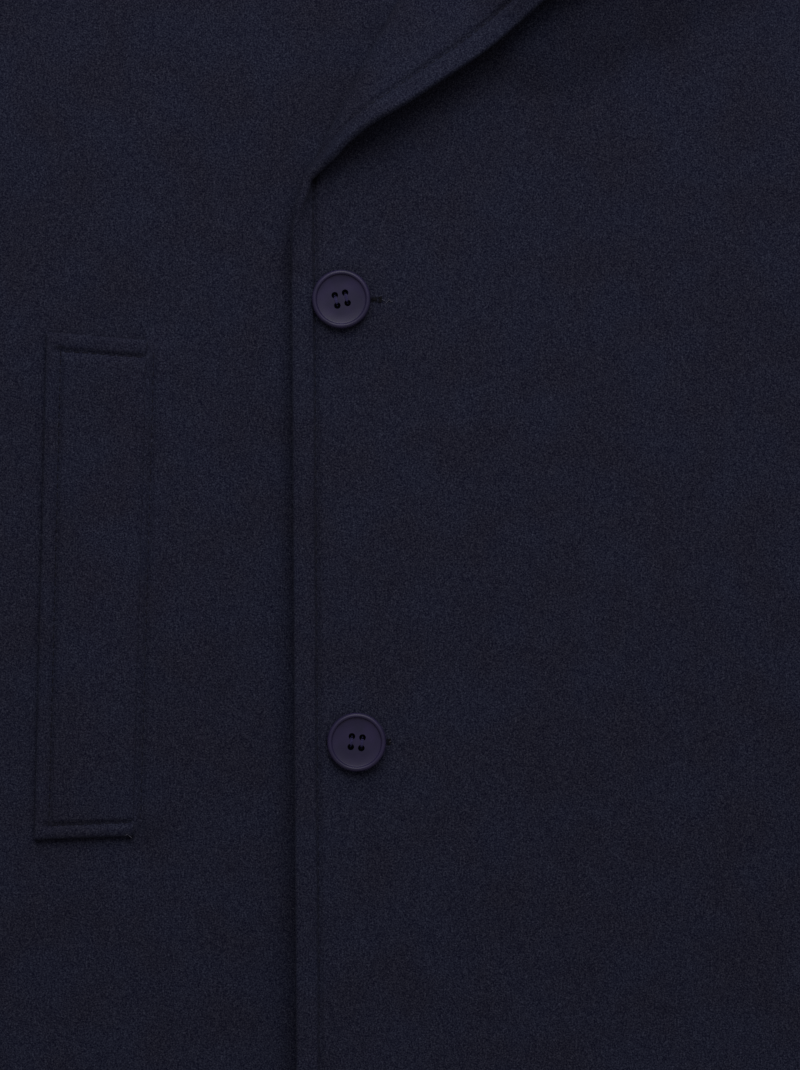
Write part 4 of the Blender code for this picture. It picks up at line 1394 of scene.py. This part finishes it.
def make_button(node, turn):
    """A turned rim and dish, with four countersunk holes cut through."""
    seat = button_axes(node, turn)
    shape = bmesh.new()
    profile = [shape.verts.new((r * MM, 0, h * MM)) for r, h in BUTTON_PROFILE]
    edges = [shape.edges.new(pair) for pair in zip(profile, profile[1:])]
    bmesh.ops.spin(
        shape, geom=profile + edges, axis=(0, 0, 1), cent=(0, 0, 0), steps=BUTTON_SEGMENTS,
        angle=math.tau, use_merge=True,
    )
    bmesh.ops.remove_doubles(shape, verts=shape.verts, dist=MERGE_METRES)
    bmesh.ops.recalc_face_normals(shape, faces=shape.faces)
    bmesh.ops.transform(shape, matrix=seat, verts=shape.verts)
    cutter = bmesh.new()
    for x, y in hole_places():
        for cut in HOLE_CUTS:
            bmesh.ops.create_cone(
                cutter, cap_ends=True, segments=HOLE_SEGMENTS, depth=cut.depth * MM,
                radius1=BUTTON_HOLE_RADIUS * cut.low * MM, radius2=BUTTON_HOLE_RADIUS * cut.high * MM,
                matrix=seat @ Matrix.Translation((x * MM, y * MM, cut.height * MM)),
            )
    made = finish_piece(node + "_turned", shape, BUTTON_PLASTIC, (node,))
    cut_holes(made, cutter)
    return made


def cut_holes(button, cutter):
    """Cuts a bmesh out of a button and keeps the result as the button's own mesh."""
    holes = add_shape("holes", cutter)
    cut = button.modifiers.new("holes", "BOOLEAN")
    cut.object = holes
    cut.use_self = True
    done = bpy.data.meshes.new_from_object(button.evaluated_get(bpy.context.evaluated_depsgraph_get()))
    button.modifiers.clear()
    button.data = done
    bpy.data.objects.remove(holes)
    done.shade_smooth()
    done.set_sharp_from_angle(angle=SHARP_ANGLE)


def make_button_thread(node, turn):
    """Thread over a button's face, from hole to hole in two bars, and down into each hole."""
    seat = button_axes(node, turn)
    half = BUTTON_HOLE_SPACING / 2
    shape = bmesh.new()
    for x in (-half, half):
        for ply in FACE_PLIES:
            middle = seat @ Vector(((x + ply) * MM, 0, (FACE_HEIGHT - abs(ply) * FACE_CROWN) * MM))
            along = seat.to_3x3() @ Vector((ply * FACE_SPLAY, 1, 0))
            add_strand(shape, middle, along, FACE_LENGTH, FACE_THICK)
        for y in (-half, half):
            down = seat @ Vector((x * MM, y * MM * DOWN_INSET, DOWN_HEIGHT * MM))
            add_strand(shape, down, Vector((0, 0, 1)), DOWN_LENGTH, DOWN_THICK)
    return finish_piece(node + "_thread", shape, BUTTON_THREAD)


BUTTONHOLE_LENGTH = 22.0
BUTTONHOLE_HALF = 0.62
# How far past the middle of its button each buttonhole ends
BUTTONHOLE_ENDS = {"button_upper_right": 13.6, "button_lower_right": 11.4}
BAR_HALF = 0.9
# The rows' stitches stand up a little; the very dark strands between them fill the slit short of its ends,
# as painted shade for the open cut
ROW_STANDS = 0.05
ROW_SPLAY = 0.12
BAR_SPLAY = 0.35
SLIT_ENDS = (1.0, 2.0)
Strand = namedtuple("Strand", "spacing length thick")
ROW_STRAND = Strand(0.55, 1.1, 0.2)
SLIT_SHADE_STRAND = Strand(2.0, 2.4, 0.45)
BAR_STRAND = Strand(0.45, 1.6, 0.2)


def make_buttonhole(node, past):
    """A worked buttonhole across the front edge: two rows of close stitches, dark strands along the slit as
    painted shade, and a bar at the end.
    """
    seat = button_seat(node)
    shape = bmesh.new()
    mid_x, mid_drop = seat.x / MM, ORIGIN_DROP - seat.y / MM
    end = mid_x + past
    start = end - BUTTONHOLE_LENGTH

    def sew(x, drop, direction, strand, stands=0.0):
        level = lying(over_front_height, x, drop) + CLOTH / 2 + stands
        add_strand(shape, placed(x, drop, level), Vector((*direction, 0)), strand.length, strand.thick)

    for x in steps(start, end, ROW_STRAND.spacing):
        for side in (-1, 1):
            drop = mid_drop + side * BUTTONHOLE_HALF + waved(BUTTONHOLE_SWAY, x, mid_drop)
            sew(x, drop, (ROW_SPLAY * side, 1), ROW_STRAND, ROW_STANDS)
    # Strands along the middle of the slit: painted shade where the cut opens
    for x in steps(start + SLIT_ENDS[0], end - SLIT_ENDS[1], SLIT_SHADE_STRAND.spacing):
        sew(x, mid_drop, (1, 0), SLIT_SHADE_STRAND)
    for drop in steps(mid_drop - BAR_HALF, mid_drop + BAR_HALF, BAR_STRAND.spacing):
        sew(end, drop, (1, BAR_SPLAY), BAR_STRAND)
    return finish_piece(node + "_buttonhole", shape, HOLE_THREAD_AND_SLIT_SHADE)


Whisker = namedtuple("Whisker", "pixel_x pixel_y turn length")
WHISKERS = [
    # loose thread ends beside the buttonholes and at the foot of the seen welt
    Whisker(383.0, 300.5, -28, 1.9),
    Whisker(387.0, 302.5, 42, 2.3),
    Whisker(389.5, 300.5, -52, 1.9),
    Whisker(391.5, 302.0, 12, 1.5),
    Whisker(390.0, 741.0, 30, 1.2),
    Whisker(393.0, 743.0, -40, 1.0),
    Whisker(127.0, 834.5, 24, 1.6),
    Whisker(130.5, 836.5, -36, 1.8),
]
WHISKER_THICK = 0.12
WHISKER_TILT = 0.1
WHISKER_STANDS = 0.15


def make_whiskers():
    """The loose ends of thread, painted lighter than the navy thread as a highlight for the light that they
    catch.
    """
    shape = bmesh.new()
    for whisker in WHISKERS:
        x, drop = pixel_place(whisker.pixel_x, whisker.pixel_y)
        height = over_front_height if x > edge_x(drop) else under_front_height
        rise = WHISKER_STANDS if height is over_front_height else LAY_GAP + WELT_CLOTH
        level = lying(height, x, drop) + CLOTH / 2 + rise
        turn = math.radians(whisker.turn)
        direction = Vector((math.cos(turn), math.sin(turn), WHISKER_TILT))
        add_strand(shape, placed(x, drop, level), direction, whisker.length, WHISKER_THICK)
    return finish_piece("loose_thread_ends", shape, LOOSE_THREAD_PAINTED_HIGHLIGHT)


# Camera, floor and light

SENSOR_WIDTH = 36.0
WORLD_STRENGTH = 0.4
# In metres, like a lamp's place, aim and size
CLIP_END = 100.0
FLOOR_HALF = 6.0


def make_camera():
    """Straight above the coat, framed as the photograph is."""
    x, drop = pixel_place(PHOTO_SIZE[0] / 2, PHOTO_SIZE[1] / 2)
    view = bpy.data.cameras.new("camera")
    view.sensor_width = SENSOR_WIDTH
    view.lens = view.sensor_width * CAMERA_HEIGHT / (PHOTO_SIZE[1] * MM_PER_PIXEL)
    view.clip_end = CLIP_END
    camera = add_thing("camera", view)
    camera.location = placed(x, drop, FRAME_PLANE + CAMERA_HEIGHT)
    bpy.context.scene.camera = camera


def make_floor():
    shape = bmesh.new()
    bmesh.ops.create_grid(shape, x_segments=1, y_segments=1, size=FLOOR_HALF)
    floor = add_shape("floor", shape)
    floor.data.materials.append(studio_paper())


Lamp = namedtuple("Lamp", "name place aim size power spread")
LAMPS = [
    # a softbox with a grid, which keeps its light off the floor below it
    Lamp("key_softbox", (0.0, 1.15, 0.95), (-0.05, 0.3, 0.0), 1.3, 9.7, math.radians(105)),
]


def make_lights():
    for lamp in LAMPS:
        light = bpy.data.lights.new(lamp.name, "AREA")
        light.size, light.energy, light.spread = lamp.size, lamp.power, lamp.spread
        made = add_thing(lamp.name, light)
        made.location = lamp.place
        made.rotation_euler = (Vector(lamp.aim) - Vector(lamp.place)).to_track_quat("-Z", "Y").to_euler()
        made.visible_camera = False
    world = bpy.data.worlds.new("studio")
    world.use_nodes = True
    sky = {"Color": linear("#f6f1ea"), "Strength": WORLD_STRENGTH}
    set_inputs(world.node_tree, world.node_tree.nodes["Background"], sky)
    bpy.context.scene.world = world
    bpy.context.scene.view_settings.view_transform = "Standard"


def main():
    make_camera()
    make_floor()
    make_lights()
    back = make_back()
    left, right = make_fronts()
    collar = make_collar()
    for side, word in ((1, "left"), (-1, "right")):
        under = make_sleeve_under(side, word)
        top = make_sleeve_top(side, word)
    welt_right = make_welt(-1, "right", under_front_height)
    welt_left = make_welt(1, "left", over_front_height)
    stitch_line("front_edge_stitching", edge_stitch_paths())
    stitch_line("collar_stitching", collar_stitch_paths())
    stitch_line("welt_stitching_right", welt_stitch_paths(-1, under_front_height))
    stitch_line("welt_stitching_left", welt_stitch_paths(1, over_front_height))
    for node, turn in BUTTON_TURNS.items():
        make_button(node, turn)
        make_button_thread(node, turn)
    for node, past in BUTTONHOLE_ENDS.items():
        make_buttonhole(node, past)
    make_whiskers()


main()
